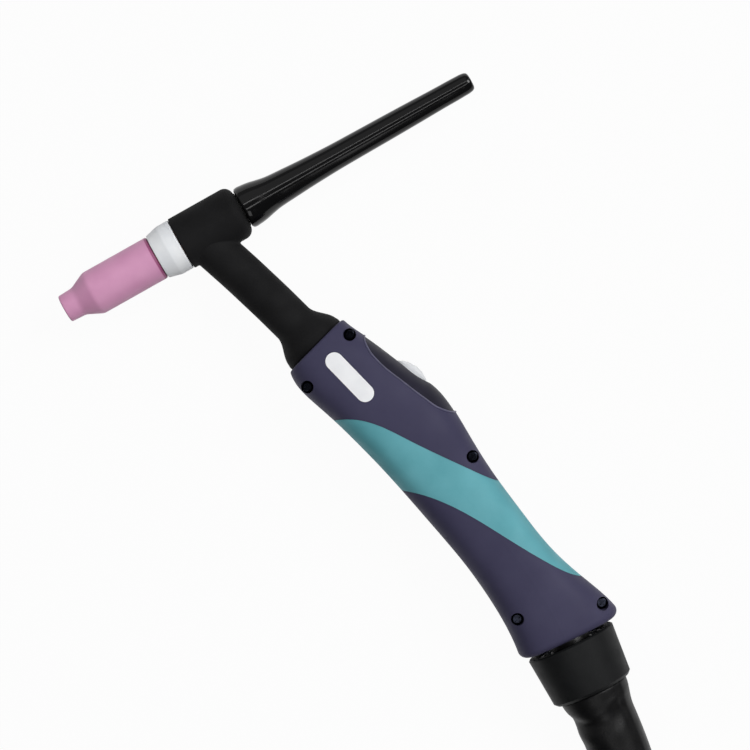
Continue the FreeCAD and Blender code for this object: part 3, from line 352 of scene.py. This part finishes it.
def dress(made, *names):
    """Give a finish to solids of the frame."""
    for name in names:
        for held in nodes[name].material_slots:
            held.material = made


coil_turn = np.arange(0, turns + 1e-6, 1 / per_turn)
coil_radius, coil_height = coil_layer(coil_turn)
coil_radius = coil_radius / math.cos(math.pi / per_turn)
coil_points = np.column_stack((
    coil_middle[0] + coil_radius * np.cos(-2 * np.pi * coil_turn),
    coil_middle[1] + coil_radius * np.sin(-2 * np.pi * coil_turn),
    coil_height,
))
route = np.concatenate((
    [cable_exit, cable_exit + cable_out * exit_straight], coil_start + droop, coil_points, [cable_end],
))
cable_line = nurbs_route("cable route", route)
cable_length = spaced(cable_line, [0])[1]
marks = np.concatenate((
    np.arange(0, folded_length, fine_step), np.arange(folded_length, cable_length, coarse_step),
    [cable_length],
))
cable_points = spaced(cable_line, marks / cable_length)[0]
far = marks[:, None]
turn = np.linspace(0, 2 * np.pi, 64, endpoint=False)[None, :]

# The sleeve's mouth is drawn over the cup's spigot and narrows to the hose. Below it lie one deep pinch on
# the inner side of the bend, the bulge beside it, and an arched crease on top.
sleeve = sleeve_r + 0.0002 + 0.0022 * (1 - eased(far / 0.0135)) + 0.0 * turn
inner_side = np.clip(np.cos(turn - 0.75), 0, 1) ** 2
sleeve += fold(-0.0013, inner_side, 0.0095 + 0.005 * np.sin(turn - 0.2), 0.0026)
sleeve += fold(0.0009, inner_side, 0.0165 + 0.004 * np.sin(turn), 0.0038)
sleeve += fold(0.0006, np.clip(np.sin(turn), 0, 1), 0.0065 + 0.0035 * np.cos(turn - 0.5), 0.0016)

# Shallow creases run on all along it, about 31 mm apart, deeper on the side that faces the coil's middle.
creases = np.sin(far * 2 * np.pi / 0.031 + 1.3 * np.sin(turn + far * 17))
creases = creases * np.sin(far * 2 * np.pi / 0.087 + 2 * np.cos(turn))
sleeve += 0.00035 * creases * np.clip(0.35 + 0.65 * np.cos(turn), 0, 1) * np.clip((far - 0.02) / 0.02, 0, 1)

# The seam is a welded lap: the upper edge stands up by half a millimetre beside a shallow groove.
from_seam = turn - 2.3
lap = 1 / (1 + np.exp(-np.clip(from_seam / 0.035, -30, 30)))
sleeve += 0.0005 * lap * np.clip(1 - from_seam / 0.55, 0, 1)
sleeve -= 0.0003 * np.exp(-((from_seam + 0.05) / 0.04) ** 2)
cable = tube_skin("sleeved_cable", cable_points, sleeve)
sleeve_finish = finish(
    "black sleeve", "070708", "0D0D0E", 0.02, 0.37, 0.49, 0.0009, 0.00005, shine=0.2, uv="unrolled",
)[0]
cable.data.materials.append(sleeve_finish)
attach(cable, "cable_end")
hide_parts("cable_cover", "cable_coil", "cover_cuff")

# Coil ties: three straps of woven webbing hold the turns of the coil together. Each goes once round the
# bundle and its end is lapped over its start on top and sewn down with a box of pale thread.
upwards = np.array((0.0, 0.0, 1.0))
tie_width = 0.016
tie_thickness = 0.00075
tie_gap = 0.00075
tie_corner = 0.010 + tie_gap
tie_lap = 0.034
tie_step = 0.0012
lap_gap = 0.0001
lap_lift = 0.0011
rib_pitch = 0.0016
section = np.linspace(0, 2 * np.pi, 16, endpoint=False)
tie_across = tie_width / 2 * np.sign(np.cos(section)) * np.abs(np.cos(section)) ** 0.25
tie_proud = tie_thickness / 2 * (1 + np.sign(np.sin(section)) * np.abs(np.sin(section)) ** 0.6)


def rounded_loop(half_width, half_height, corner, distances):
    """Points and outward normals of a rounded rectangle at distances along it, counted on past a whole turn,
    and its perimeter. Each corner is a quarter circle; the loop starts in the middle of its upper side."""
    turned = np.linspace(0, np.pi / 2, 13)
    loop = [(0.0, half_height)]
    for quarter, (right, above) in enumerate(((1, 1), (1, -1), (-1, -1), (-1, 1))):
        bearing = np.pi / 2 - turned - quarter * np.pi / 2
        middle = np.array((right * (half_width - corner), above * (half_height - corner)))
        loop += (middle + corner * np.column_stack((np.cos(bearing), np.sin(bearing)))).tolist()
    loop = np.array(loop + loop[:1])
    steps = lengths_along(loop)

    def at(distance):
        """Points at distances along the loop."""
        wound = np.mod(distance, steps[-1])
        return np.column_stack([np.interp(wound, steps, loop[:, k]) for k in range(2)])

    heading = at(distances + 0.0004) - at(distances - 0.0004)
    heading /= np.linalg.norm(heading, axis=1)[:, None]
    return at(distances), np.column_stack((-heading[:, 1], heading[:, 0])), steps[-1]


webbing, tree, shader, place, tint, bump = finish(
    "tie webbing", "1B1B1D", "232326", 0.01, 0.75, 0.85, 0.0005, 0.00003, shine=0.3, uv="unrolled",
)
ribs = add(tree, "ShaderNodeTexWave", Scale=1 / rib_pitch / 20, Distortion=0.4, Detail=1.0)
ribs.bands_direction = "Y"
tree.links.new(place, ribs.inputs["Vector"])
rib_bump = add(tree, "ShaderNodeBump", Strength=0.8, Distance=0.0002)
wire(tree, ribs, "Fac", rib_bump, "Height")
wire(tree, bump, "Normal", rib_bump, "Normal")
wire(tree, rib_bump, "Normal", shader, "Normal")
thread = finish("sewing thread", "B9B9B4", "CFCFCA", 0.004, 0.6, 0.7, 0.0003, 0.00003)[0]

# Stitches: a box of short raised threads, each four rings of six points. Two sides of the box run across
# the strap (1, 0) and two along it (0, 1).
stitch_x = np.linspace(-0.0055, 0.0055, 8)
stitch_y = np.linspace(0.006, 0.024, 11)
stitches_at = [(x, y, 1, 0) for y in stitch_y[[0, -1]] for x in stitch_x]
stitches_at += [(x, y, 0, 1) for x in stitch_x[[0, -1]] for y in stitch_y]
stitch_at_x, stitch_at_y, wide, long = np.array(stitches_at).T[:, :, None, None]
stitch_turn = np.linspace(0, 2 * np.pi, 6, endpoint=False)
stitch_along = np.array((-0.00062, -0.0005, 0.0005, 0.00062))[:, None]
stitch_r = np.array((0.00004, 0.00022, 0.00022, 0.00004))[:, None]
ring, step = np.meshgrid(np.arange(3) * 6, np.arange(6), indexing="ij")
following = (step + 1) % 6
stitch_faces = np.stack((ring + step, ring + following, ring + 6 + following, ring + 6 + step), axis=-1)
stitch_faces = stitch_faces.reshape(-1, 4).tolist() + [list(range(5, -1, -1)), list(range(18, 24))]
box_faces = [[24 * k + corner for corner in face] for k in range(len(stitches_at)) for face in stitch_faces]

for number, share in enumerate((0.25, 0.5, 0.75)):
    held_r, held_z = coil_layer(np.arange(share, turns + 1e-6, 1.0))
    out = np.array((math.cos(-2 * math.pi * share), math.sin(-2 * math.pi * share), 0.0))
    beside = np.array((-out[1], out[0], 0.0))
    middle = np.append(coil_middle, (held_z.min() + held_z.max()) / 2)
    middle = middle + out * (held_r.min() + held_r.max()) / 2
    half_width = np.ptp(held_r) / 2 + sleeve_r + tie_gap
    half_height = np.ptp(held_z) / 2 + sleeve_r + tie_gap
    perimeter = rounded_loop(half_width, half_height, tie_corner, np.array([0.0]))[2]
    distances = np.arange(0, perimeter + tie_lap, tie_step)
    points, normals, perimeter = rounded_loop(half_width, half_height, tie_corner, distances)
    lift = (tie_thickness + lap_gap) * eased((distances - perimeter + 0.006) / 0.006)
    lift += lap_lift * eased((distances - perimeter - tie_lap + 0.005) / 0.005)
    proud = tie_proud[None, :] + lift[:, None]
    across = points[:, 0, None] + normals[:, 0, None] * proud
    height = points[:, 1, None] + normals[:, 1, None] * proud
    grid = middle + across[..., None] * out + height[..., None] * upwards + tie_across[None, :, None] * beside
    tie = grid_skin("coil_tie_%d" % (number + 1), grid, 2 * tie_width)
    tie.data.materials.append(webbing)
    sideways = stitch_r * np.cos(stitch_turn)
    rise = stitch_r * np.sin(stitch_turn) + half_height + 2 * tie_thickness + lap_gap
    box = middle + (stitch_at_y + stitch_along * long + sideways * wide)[..., None] * out
    box = box + (stitch_at_x + stitch_along * wide + sideways * long)[..., None] * beside
    box = box + rise[..., None] * upwards
    stitches = put_mesh("tie_stitches_%d" % (number + 1), box.reshape(-1, 3), box_faces)
    stitches.data.materials.append(thread)
    for piece in (tie, stitches):
        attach(piece, "cable_end")
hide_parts("coil_ties")

# Cable end: a moulded rubber boot gathers the sleeve's end and lets out the power plug in its ribbed
# sleeve, the barbed gas nipple and the control lead.
plug_rubber = finish("plug rubber", "151516", "1E1E20", 0.012, 0.5, 0.64, 0.0007, 0.00004, shine=0.35)[0]
dress(plug_rubber, "cable_boot", "power_plug_sleeve")
brass = finish("turned brass", "A98442", "C4A05A", 0.006, 0.22, 0.38, 0.0004, 0.00001, metal=1.0)[0]
dress(brass, "power_plug_pin", "gas_nipple", "control_plug_pins")

# Control lead: the switch's two wires leave the boot in a thin round lead, which ends in the control plug.
# It has the same smooth sheath from end to end and simply lies on the bench.
lead_r = 0.00275
lead_exit = np.array((-0.1383, -0.5147, 0.0150))
lead_route = lead_exit + np.array((
    (0, 0, 0), (-0.0117, 0, 0), (-0.0277, -0.0009, -0.0055), (-0.0437, -0.0025, -0.0116),
    (-0.0607, -0.0019, -0.0120), (-0.0777, 0.0023, -0.0120), (-0.0927, 0.0117, -0.0118),
    (-0.1032, 0.0257, -0.0098), (-0.1077, 0.0417, -0.0054), (-0.1077, 0.0557, -0.0054),
))
lead_line = nurbs_route("lead route", lead_route)
lead_points, lead_length = spaced(lead_line, np.linspace(0, 1, 120))
lead = tube_skin("control_lead_sheath", lead_points, np.full((len(lead_points), 20), lead_r))
lead.data.materials.append(finish("lead sheath", "131314", "1A1A1B", 0.01, 0.36, 0.46, 0.0012, 0.00003)[0])
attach(lead, "cable_end")
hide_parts("control_lead")
plug_plastic = finish("plug plastic", "1D1E20", "26282A", 0.008, 0.4, 0.52, 0.0005, 0.00002)[0]
dress(plug_plastic, "control_plug_body")
ring_plastic = finish("ring plastic", "2A2C2F", "34373A", 0.006, 0.26, 0.36, 0.0005, 0.00001)[0]
dress(ring_plastic, "control_plug_ring")

# Swivel: a charcoal nylon cup with a knuckle joint. The ball on the handle's stem turns and tilts in a seat
# ring, which turns in the cup and is held there by a sprung ring.
cup_nylon = finish("charcoal nylon", "111213", "171819", 0.015, 0.46, 0.58, 0.0006, 0.00003, shine=0.15)[0]
dress(cup_nylon, "swivel_cup")
bearing_plastic = finish("bearing plastic", "121213", "19191A", 0.01, 0.3, 0.42, 0.001, 0.000004)[0]
dress(bearing_plastic, "ball_seat_ring", "swivel_ball")
spring_steel = finish("spring steel", "54575B", "6C7075", 0.004, 0.24, 0.36, 0.0003, 0.00001, metal=1.0)[0]
dress(spring_steel, "retaining_ring")


# Handle: two moulded shells meet in the torch's middle plane. The plastic is a dark violet blue with a
# satin, very finely grained skin, and painted shade darkens the hairline where the shells meet.
def painted_seam_shade(tree, shader, place, tint):
    """Painted shade: darken a finish to a third within a tenth of a millimetre of the torch's middle plane.
    """
    parts = add(tree, "ShaderNodeSeparateXYZ")
    tree.links.new(place, parts.inputs[0])
    height = add(tree, "ShaderNodeMath", "SUBTRACT", in1=torch_height)
    wire(tree, parts, "Z", height, 0)
    distance = add(tree, "ShaderNodeMath", "ABSOLUTE")
    wire(tree, height, "Value", distance, 0)
    share = add(tree, "ShaderNodeMapRange", From_Min=0.00008, From_Max=0.0002, To_Min=0.33, To_Max=1.0)
    wire(tree, distance, "Value", share, "Value")
    shade = add(tree, "ShaderNodeHueSaturation")
    wire(tree, tint, "Color", shade, "Color")
    wire(tree, share, "Result", shade, "Value")
    wire(tree, shade, "Color", shader, "Base Color")


shell_plastic, tree, shader, place, tint = finish(
    "satin shell", "3B3951", "424058", 0.03, 0.58, 0.68, 0.0005, 0.000012, shine=0.15,
)[:5]
painted_seam_shade(tree, shader, place, tint)
dress(shell_plastic, "handle_shell_upper", "handle_shell_lower")

# Grip inlays: a band of soft teal rubber on each shell, moulded into a shallow seat that runs slantwise
# from the belly to the trigger side. The two bands meet at the same hairline as the shells, with the same
# painted shade.
grip_rubber, tree, shader, place, tint = finish(
    "teal grip", "569CA6", "63A9B3", 0.02, 0.6, 0.74, 0.0005, 0.00002, shine=0.35,
)[:5]
painted_seam_shade(tree, shader, place, tint)
dress(grip_rubber, "grip_inlay_upper", "grip_inlay_lower")

# Label: a bare white plastic plate with rounded ends, smooth and slightly glossy. It is glued into its
# recess in the upper shell.
label_white = finish("label white", "EAEBEE", "F3F4F6", 0.01, 0.3, 0.42, 0.0008, 0.000006)[0]
dress(label_white, "label_plate")

# Screws: five blackened steel screws with cross recesses lie sunk in round holes of the upper shell and
# draw the two shells together.
black_steel = finish(
    "blackened steel", "15161C", "20222B", 0.004, 0.16, 0.26, 0.0012, 0.000003, metal=1.0,
)[0]
dress(black_steel, "handle_screws")

# Recess lip: the shells' edge round the switch housing is a thin rounded bead, painted paler than the shell
# as a painted highlight along the edge. It runs back over the upper shell and forward under the lower one.
lip_plan = np.array((
    (-0.0314, 0.0702), (-0.0339, 0.0638), (-0.0318, 0.0584), (-0.0266, 0.0523), (-0.0168, 0.0444),
    (-0.0079, 0.0376), (-0.0006, 0.0327), (0.0064, 0.0309), (0.0133, 0.0335),
))
handle_middle = np.array(((-0.0481, 0.0530), (-0.0074, 0.0132)))
lip_r = 0.0004
lip_shift = 0.00015
lip_steps = 240
lip_mark = lengths_along(lip_plan)
upper_shell = nodes["handle_shell_upper"]
bpy.context.view_layer.update()


def curve_through(marks, values, at):
    """Cubic Hermite curve through values at marks, whose slopes are those of the neighbouring chords."""
    slopes = np.gradient(values, marks)
    k = np.clip(np.searchsorted(marks, at) - 1, 0, len(marks) - 2)
    step = marks[k + 1] - marks[k]
    t = (at - marks[k]) / step
    return (
        (1 + 2 * t) * (1 - t) ** 2 * values[k] + t * (1 - t) ** 2 * step * slopes[k]
        + t * t * (3 - 2 * t) * values[k + 1] + t * t * (t - 1) * step * slopes[k + 1]
    )


def lip_spot(mark):
    """Plan point at a distance along the shell's edge, and the height of the upper shell's skin over it."""
    (x, next_x), (y, next_y) = (
        curve_through(lip_mark, lip_plan[:, axis], np.array((mark, mark + 1e-5))).tolist() for axis in (0, 1)
    )
    step = math.hypot(next_x - x, next_y - y)
    inwards_x, inwards_y = (next_y - y) / step, (x - next_x) / step
    hit, spot = upper_shell.ray_cast((x + lip_r * inwards_x, y + lip_r * inwards_y, 0.1), (0, 0, -1))[:2]
    return x + lip_shift * inwards_x, y + lip_shift * inwards_y, spot[2] if hit else -1.0


on_shell = [mark for mark in np.linspace(0, lip_mark[-1], 400) if lip_spot(mark)[2] > torch_height]
lip_turn = np.linspace(0, 2 * np.pi, lip_steps, endpoint=False)
lip_line = []
for turned in lip_turn:
    x, y, z = lip_spot(on_shell[0] + (on_shell[-1] - on_shell[0]) * (1 - math.cos(turned)) / 2)
    rise = max(z - torch_height, 0) * (1 if turned < math.pi else -1)
    lip_line.append((x, y, torch_height + (0 if turned in (0, math.pi) else rise)))
lip_line = np.array(lip_line)
for smoothing in range(2):
    lip_line = (np.roll(lip_line, 1, axis=0) + 2 * lip_line + np.roll(lip_line, -1, axis=0)) / 4
core_x, core_y = (np.interp(1 - np.cos(lip_turn), (0, 2), handle_middle[:, axis]) for axis in (0, 1))
lip_along = np.roll(lip_line, -1, axis=0) - np.roll(lip_line, 1, axis=0)
lip_out = lip_line - np.column_stack((core_x, core_y, np.full(lip_steps, torch_height)))
lip_out -= lip_along * (np.sum(lip_out * lip_along, axis=1) / np.sum(lip_along ** 2, axis=1))[:, None]
lip_out /= np.linalg.norm(lip_out, axis=1)[:, None]
lip_side = np.cross(lip_along, lip_out)
lip_side /= np.linalg.norm(lip_side, axis=1)[:, None]
round_lip = np.linspace(0, 2 * np.pi, 10, endpoint=False)[None, :, None]
lip_ring = np.cos(round_lip) * lip_out[:, None] + np.sin(round_lip) * lip_side[:, None]
recess_lip = grid_skin("recess_lip", lip_line[:, None] + lip_r * lip_ring, 2 * math.pi * lip_r, looped=True)
# The bead's paler colour is a painted highlight, not a different plastic.
lip_painted_highlight = finish(
    "rubbed shell edge", "565468", "62607A", 0.004, 0.4, 0.5, 0.0005, 0.000008, shine=0.2,
)[0]
recess_lip.data.materials.append(lip_painted_highlight)
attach(recess_lip, "handle")

# Switch: a dark housing fills the opening in the trigger side of the shells and carries the pale button,
# the switch under it, with its plunger, and the switch's two wires.
housing_plastic = finish(
    "housing plastic", "1C1B27", "232130", 0.015, 0.5, 0.6, 0.0005, 0.000015, shine=0.15,
)[0]
dress(housing_plastic, "switch_housing")
button_plastic = finish("button plastic", "E2E4E8", "EEF0F3", 0.006, 0.36, 0.48, 0.0005, 0.00001)[0]
dress(button_plastic, "trigger_button")
switch_plastic = finish("switch plastic", "1B1B1C", "242425", 0.004, 0.4, 0.5, 0.0004, 0.00001)[0]
dress(switch_plastic, "microswitch_body")
plunger_plastic = finish("plunger plastic", "8E2A22", "9C352B", 0.002, 0.34, 0.44, 0.0003, 0.00001)[0]
dress(plunger_plastic, "microswitch_plunger")
wire_plastic = finish("wire plastic", "6B1512", "7A1C18", 0.006, 0.36, 0.46, 0.0006, 0.00001)[0]
dress(wire_plastic, "switch_leads")

# Inside the handle: the hose, its crimped ferrule, the union nut on the neck's tube and the tube itself,
# which runs on through the neck into the head.
hose_rubber = finish("hose rubber", "121213", "1A1A1B", 0.01, 0.55, 0.68, 0.0006, 0.00003, shine=0.35)[0]
dress(hose_rubber, "inner_cable")
copper = finish("bright copper", "A8583A", "C27552", 0.006, 0.24, 0.4, 0.0004, 0.00001, metal=1.0)[0]
dress(copper, "cable_ferrule", "neck_tube_front", "neck_tube_middle", "neck_tube_rear")
dress(brass, "neck_union")

# Neck: a black rubber jacket over the flexible tube, which leaves the head in a soft saddle and swells into
# a bell whose flange is clamped behind the shells' front wall. The real neck bends at each of its two ends;
# here it is made as two skins that meet in its middle.
head_origin = np.array((-0.10906, 0.11052))
head_r = 0.0125
neck_r = 0.0098
neck_bore_r = 0.0061
neck_heading = -41.5
front_bend = (0.018, 0.034)
rear_bend = (0.038, 0.054)
neck_middle = 0.036
neck_step = 0.0001
neck_mark = np.linspace(-0.010, 0.090, 1001)
axis_at = 100
bend_length = 0.016
angle = np.linspace(0, 2 * np.pi, 96, endpoint=False)[None, :]
lean = math.sin(head_heading - math.radians(neck_heading))
slant = math.cos(head_heading - math.radians(neck_heading))
neck_turn = neck_heading - 1.7 * eased((neck_mark - front_bend[0]) / bend_length)
neck_turn = np.radians(neck_turn - 1.5 * eased((neck_mark - rear_bend[0]) / bend_length))


def neck_run(share):
    """Distance run in one direction at each mark, from the head's axis: the sum over the short steps of the
    mean of the step's two shares in that direction, times the step."""
    run = np.concatenate(([0], np.cumsum((share[1:] + share[:-1]) / 2))) * neck_step
    return run - run[axis_at]


neck_x = head_origin[0] + neck_run(np.cos(neck_turn))
neck_y = head_origin[1] + neck_run(np.sin(neck_turn))


def neck_place(along, radius, angle):
    """The point at a distance along the neck's middle line from the head's axis, radius away from it, in the
    direction of an angle: 0 towards the belly side, a quarter turn upwards. The line is the sum of short
    steps whose heading turns smoothly by 1.7 degrees at the front bend and 1.5 at the rear one."""
    heading = np.interp(along, neck_mark, neck_turn)
    out = radius * np.cos(angle)
    return np.stack((
        np.interp(along, neck_mark, neck_x) + out * np.sin(heading),
        np.interp(along, neck_mark, neck_y) - out * np.cos(heading),
        torch_height + radius * np.sin(angle),
    ), axis=-1)


def saddle(radius):
    """Distance along the neck at which a line of its skin meets the head: the head's circle gives the depth
    sqrt(R^2 - (r sin a)^2), less what the slanted side already gives, r cos a times the slant, all divided
    by the lean."""
    depth = np.sqrt(np.maximum(head_r ** 2 - (radius * np.sin(angle)) ** 2, 0))
    return (depth - slant * radius * np.cos(angle)) / lean


# The front skin's foot: a fillet on the head, wider above and below than beside it, that eases off along a
# quarter circle. From its foot the skin runs to the neck's middle, and back along its bore.
neck_width = 2 * math.pi * neck_r
neck_crease = 50
fillet = 0.0007 + 0.0014 * np.abs(np.sin(angle))
share = np.linspace(0, 1, 9)[:, None]
foot_r = neck_r + fillet * (1 - np.sqrt(1 - (1 - share) ** 2))
foot_start = saddle(neck_r + fillet)
foot_along = foot_start + (saddle(neck_r + 0 * fillet) + fillet - foot_start) * share
run = np.linspace(0, 1, 19)[1:, None]
front_along = np.concatenate((
    0.004 + 0 * angle, foot_along[:1] - 0.0008, foot_along,
    foot_along[-1:] + (neck_middle - foot_along[-1:]) * run, neck_middle + 0 * angle, 0.020 + 0 * angle,
))
front_r = np.concatenate((
    neck_bore_r + 0 * angle, foot_r[:1] - 0.0002, foot_r,
    neck_r + 0 * angle * run, neck_bore_r + 0 * angle, neck_bore_r + 0 * angle,
))
front_grid = neck_place(front_along, front_r, angle)
neck_front = grid_skin("neck_skin_front", front_grid, neck_width, looped=True, crease=neck_crease)

# The rear skin: the neck swells by two smooth steps into the bell. Behind it lie the groove that holds the
# shells' front wall and the flange, and the skin comes back along its bore.
bell_along = np.concatenate((
    np.linspace(neck_middle, 0.0580, 16), np.linspace(0.0585, 0.0725, 29), [0.0729, 0.0732, 0.0733],
))[:, None]
bell_r = neck_r + 0.0052 * eased((bell_along - 0.0585) / 0.0125)
bell_r += 0.00035 * eased((bell_along - 0.0702) / 0.0018)
bell_r[-3:, 0] = (0.01528, 0.01508, 0.0148)
flange = np.array((
    (0.0733, 0.0109), (0.0773, 0.0109), (0.0773, 0.0123), (0.0803, 0.0123), (0.0803, neck_bore_r),
    (0.0560, neck_bore_r), (neck_middle, neck_bore_r),
))
rear_along = np.concatenate((bell_along, flange[:, :1])) + 0 * angle
rear_r = np.concatenate((bell_r, flange[:, 1:])) + 0 * angle
rear_grid = neck_place(rear_along, rear_r, angle)
neck_rear = grid_skin("neck_skin_rear", rear_grid, neck_width, looped=True, crease=neck_crease)
neck_rubber = finish("jacket rubber", "151516", "1B1B1C", 0.02, 0.66, 0.78, 0.0006, 0.00003, shine=0.1)[0]
for skin, node in ((neck_front, "neck_jacket_middle"), (neck_rear, "neck_jacket_rear")):
    skin.data.materials.append(neck_rubber)
    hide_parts(node)
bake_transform(neck_front)
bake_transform(neck_rear)

# Head: a brass body with the same black rubber moulded round it, sharp at the gasket's end and well
# rounded at the back cap's end. Its profile is in millimetres from the neck's axis, along and outwards.
round_turn = np.linspace(0, math.acos(0.78 / 4.4), 12)[:, None]
corner_turn = np.linspace(0, math.pi / 2, 5)[:, None]
cover_profile = np.concatenate((
    [(-8.5, 8.88), (-8.5, 10.4)],
    np.column_stack((-8.0 - 0.5 * np.cos(corner_turn), 12.0 + 0.5 * np.sin(corner_turn))),
    np.column_stack((np.linspace(-6, 17, 8), np.full(8, 12.5))),
    np.column_stack((18.4 + 4.4 * np.sin(round_turn), 8.1 + 4.4 * np.cos(round_turn))),
    [(22.2, 8.88), (7.0, 8.88)],
)) / 1000


def lathed(profile):
    """Points of a profile of distances along the head's straight axis and radii, at every angle round it: the
    axis point, plus the radius sideways times the angle's cosine and upwards times its sine."""
    along, radius = profile[:, :1] + 0 * angle, profile[:, 1:] + 0 * angle
    out = radius * np.cos(angle)
    return np.stack((
        head_origin[0] + along * math.cos(head_heading) + out * math.sin(head_heading),
        head_origin[1] + along * math.sin(head_heading) - out * math.cos(head_heading),
        torch_height + radius * np.sin(angle),
    ), axis=-1)


head_cover = grid_skin(
    "head_cover", lathed(cover_profile), 2 * math.pi * head_r, looped=True, crease=neck_crease,
)
head_cover.data.materials.append(neck_rubber)
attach(head_cover, "head")
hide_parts("head_jacket")
dress(brass, "head_body")

# Gasket and nozzle: a white insulating ring, then the pink alumina cup, fired with a thin glaze. The cup's
# rear edge is rounded, with painted shade on it. Copper collet body, collet and tungsten electrode are
# inside.
gasket_white = finish("gasket white", "E8EBEF", "F2F4F6", 0.01, 0.5, 0.62, 0.0006, 0.00002, shine=0.35)[0]
dress(gasket_white, "nozzle_gasket")
alumina, tree, shader, place, tint = finish(
    "pink alumina", "D294B9", "D89BBF", 0.009, 0.4, 0.52, 0.0004, 0.00001, shine=0.4,
)[:5]
axis = (math.cos(head_heading), math.sin(head_heading), 0.0)
# Painted shade: the cup's last 1.6 mm towards its rounded rear edge is darkened, most at the edge.
nozzle_rear = -0.02100
shaded_band = 0.0016
rear_edge = nozzle_rear + axis[0] * head_origin[0] + axis[1] * head_origin[1]
from_rear = add(tree, "ShaderNodeVectorMath", "DOT_PRODUCT", in1=axis)
tree.links.new(place, from_rear.inputs[0])
edge_share = add(tree, "ShaderNodeMapRange", From_Min=rear_edge - shaded_band, From_Max=rear_edge)
wire(tree, from_rear, "Value", edge_share, "Value")
edge_shade = ramp(
    tree, edge_share, "Result", (0.0, "FFFFFF"), (0.18, "F4D9E8"), (0.34, "B58AA2"), (1.0, "AC7F98"),
)
shaded_rim = add(tree, "ShaderNodeMix")
shaded_rim.data_type = "RGBA"
shaded_rim.blend_type = "MULTIPLY"
shaded_rim.inputs[0].default_value = 1.0
tree.links.new(tint.outputs["Color"], shaded_rim.inputs[6])
tree.links.new(edge_shade.outputs["Color"], shaded_rim.inputs[7])
tree.links.new(shaded_rim.outputs[2], shader.inputs["Base Color"])
dress(alumina, "ceramic_nozzle")
dress(copper, "collet_body", "collet")
tungsten = finish("ground tungsten", "86888C", "A0A2A6", 0.003, 0.22, 0.36, 0.0003, 0.00001, metal=1.0)[0]
dress(tungsten, "tungsten_electrode")

# Back cap: the long hollow cap that covers the electrode's tail, turned and polished in glossy black
# phenolic. Its plug seats in the head's body on a rubber O-ring. Marks and radii are in millimetres.
cap_marks, cap_radii = np.array((
    (23.4, 8.9), (23.8, 9.55), (24.6, 9.85), (27.4, 9.8), (31.0, 9.35), (34.6, 8.55), (38.2, 7.85),
    (41.8, 7.5), (45.4, 7.27), (49.0, 7.04), (56.2, 6.59), (63.4, 6.26), (70.6, 5.99), (81.4, 5.8),
    (95.8, 5.62), (110.2, 5.38), (124.6, 5.06), (135.4, 4.9), (138.4, 4.75), (140.0, 4.35), (140.8, 3.75),
    (141.0, 3.3),
)).T
cap_along = np.concatenate((
    np.linspace(23.4, 27.4, 9), np.arange(28.0, 135.0, 1.0), np.linspace(135.4, 141.0, 15),
))
cap_outer = np.column_stack((cap_along, curve_through(cap_marks, cap_radii, cap_along)))
cap_inner = [(133.0, 0.3), (133.0, 2.2), (9.5, 2.2), (9.5, 5.9), (21.2, 5.9), (21.2, 6.31), (23.4, 6.31)]
cap_profile = np.concatenate((cap_inner, cap_outer, [(141.0, 0.3)])) / 1000
cap_width = 0.035
back_cap = grid_skin("polished_cap", lathed(cap_profile), cap_width, crease=40)
cap_gloss = finish("polished phenolic", "09090A", "0D0D0E", 0.03, 0.11, 0.15, 0.002, 0.0000005, shine=0.3)[0]
back_cap.data.materials.append(cap_gloss)
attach(back_cap, "cap")
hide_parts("back_cap")
seal_rubber = finish("seal rubber", "131313", "1B1B1B", 0.004, 0.45, 0.6, 0.0004, 0.00001)[0]
dress(seal_rubber, "back_cap_oring")
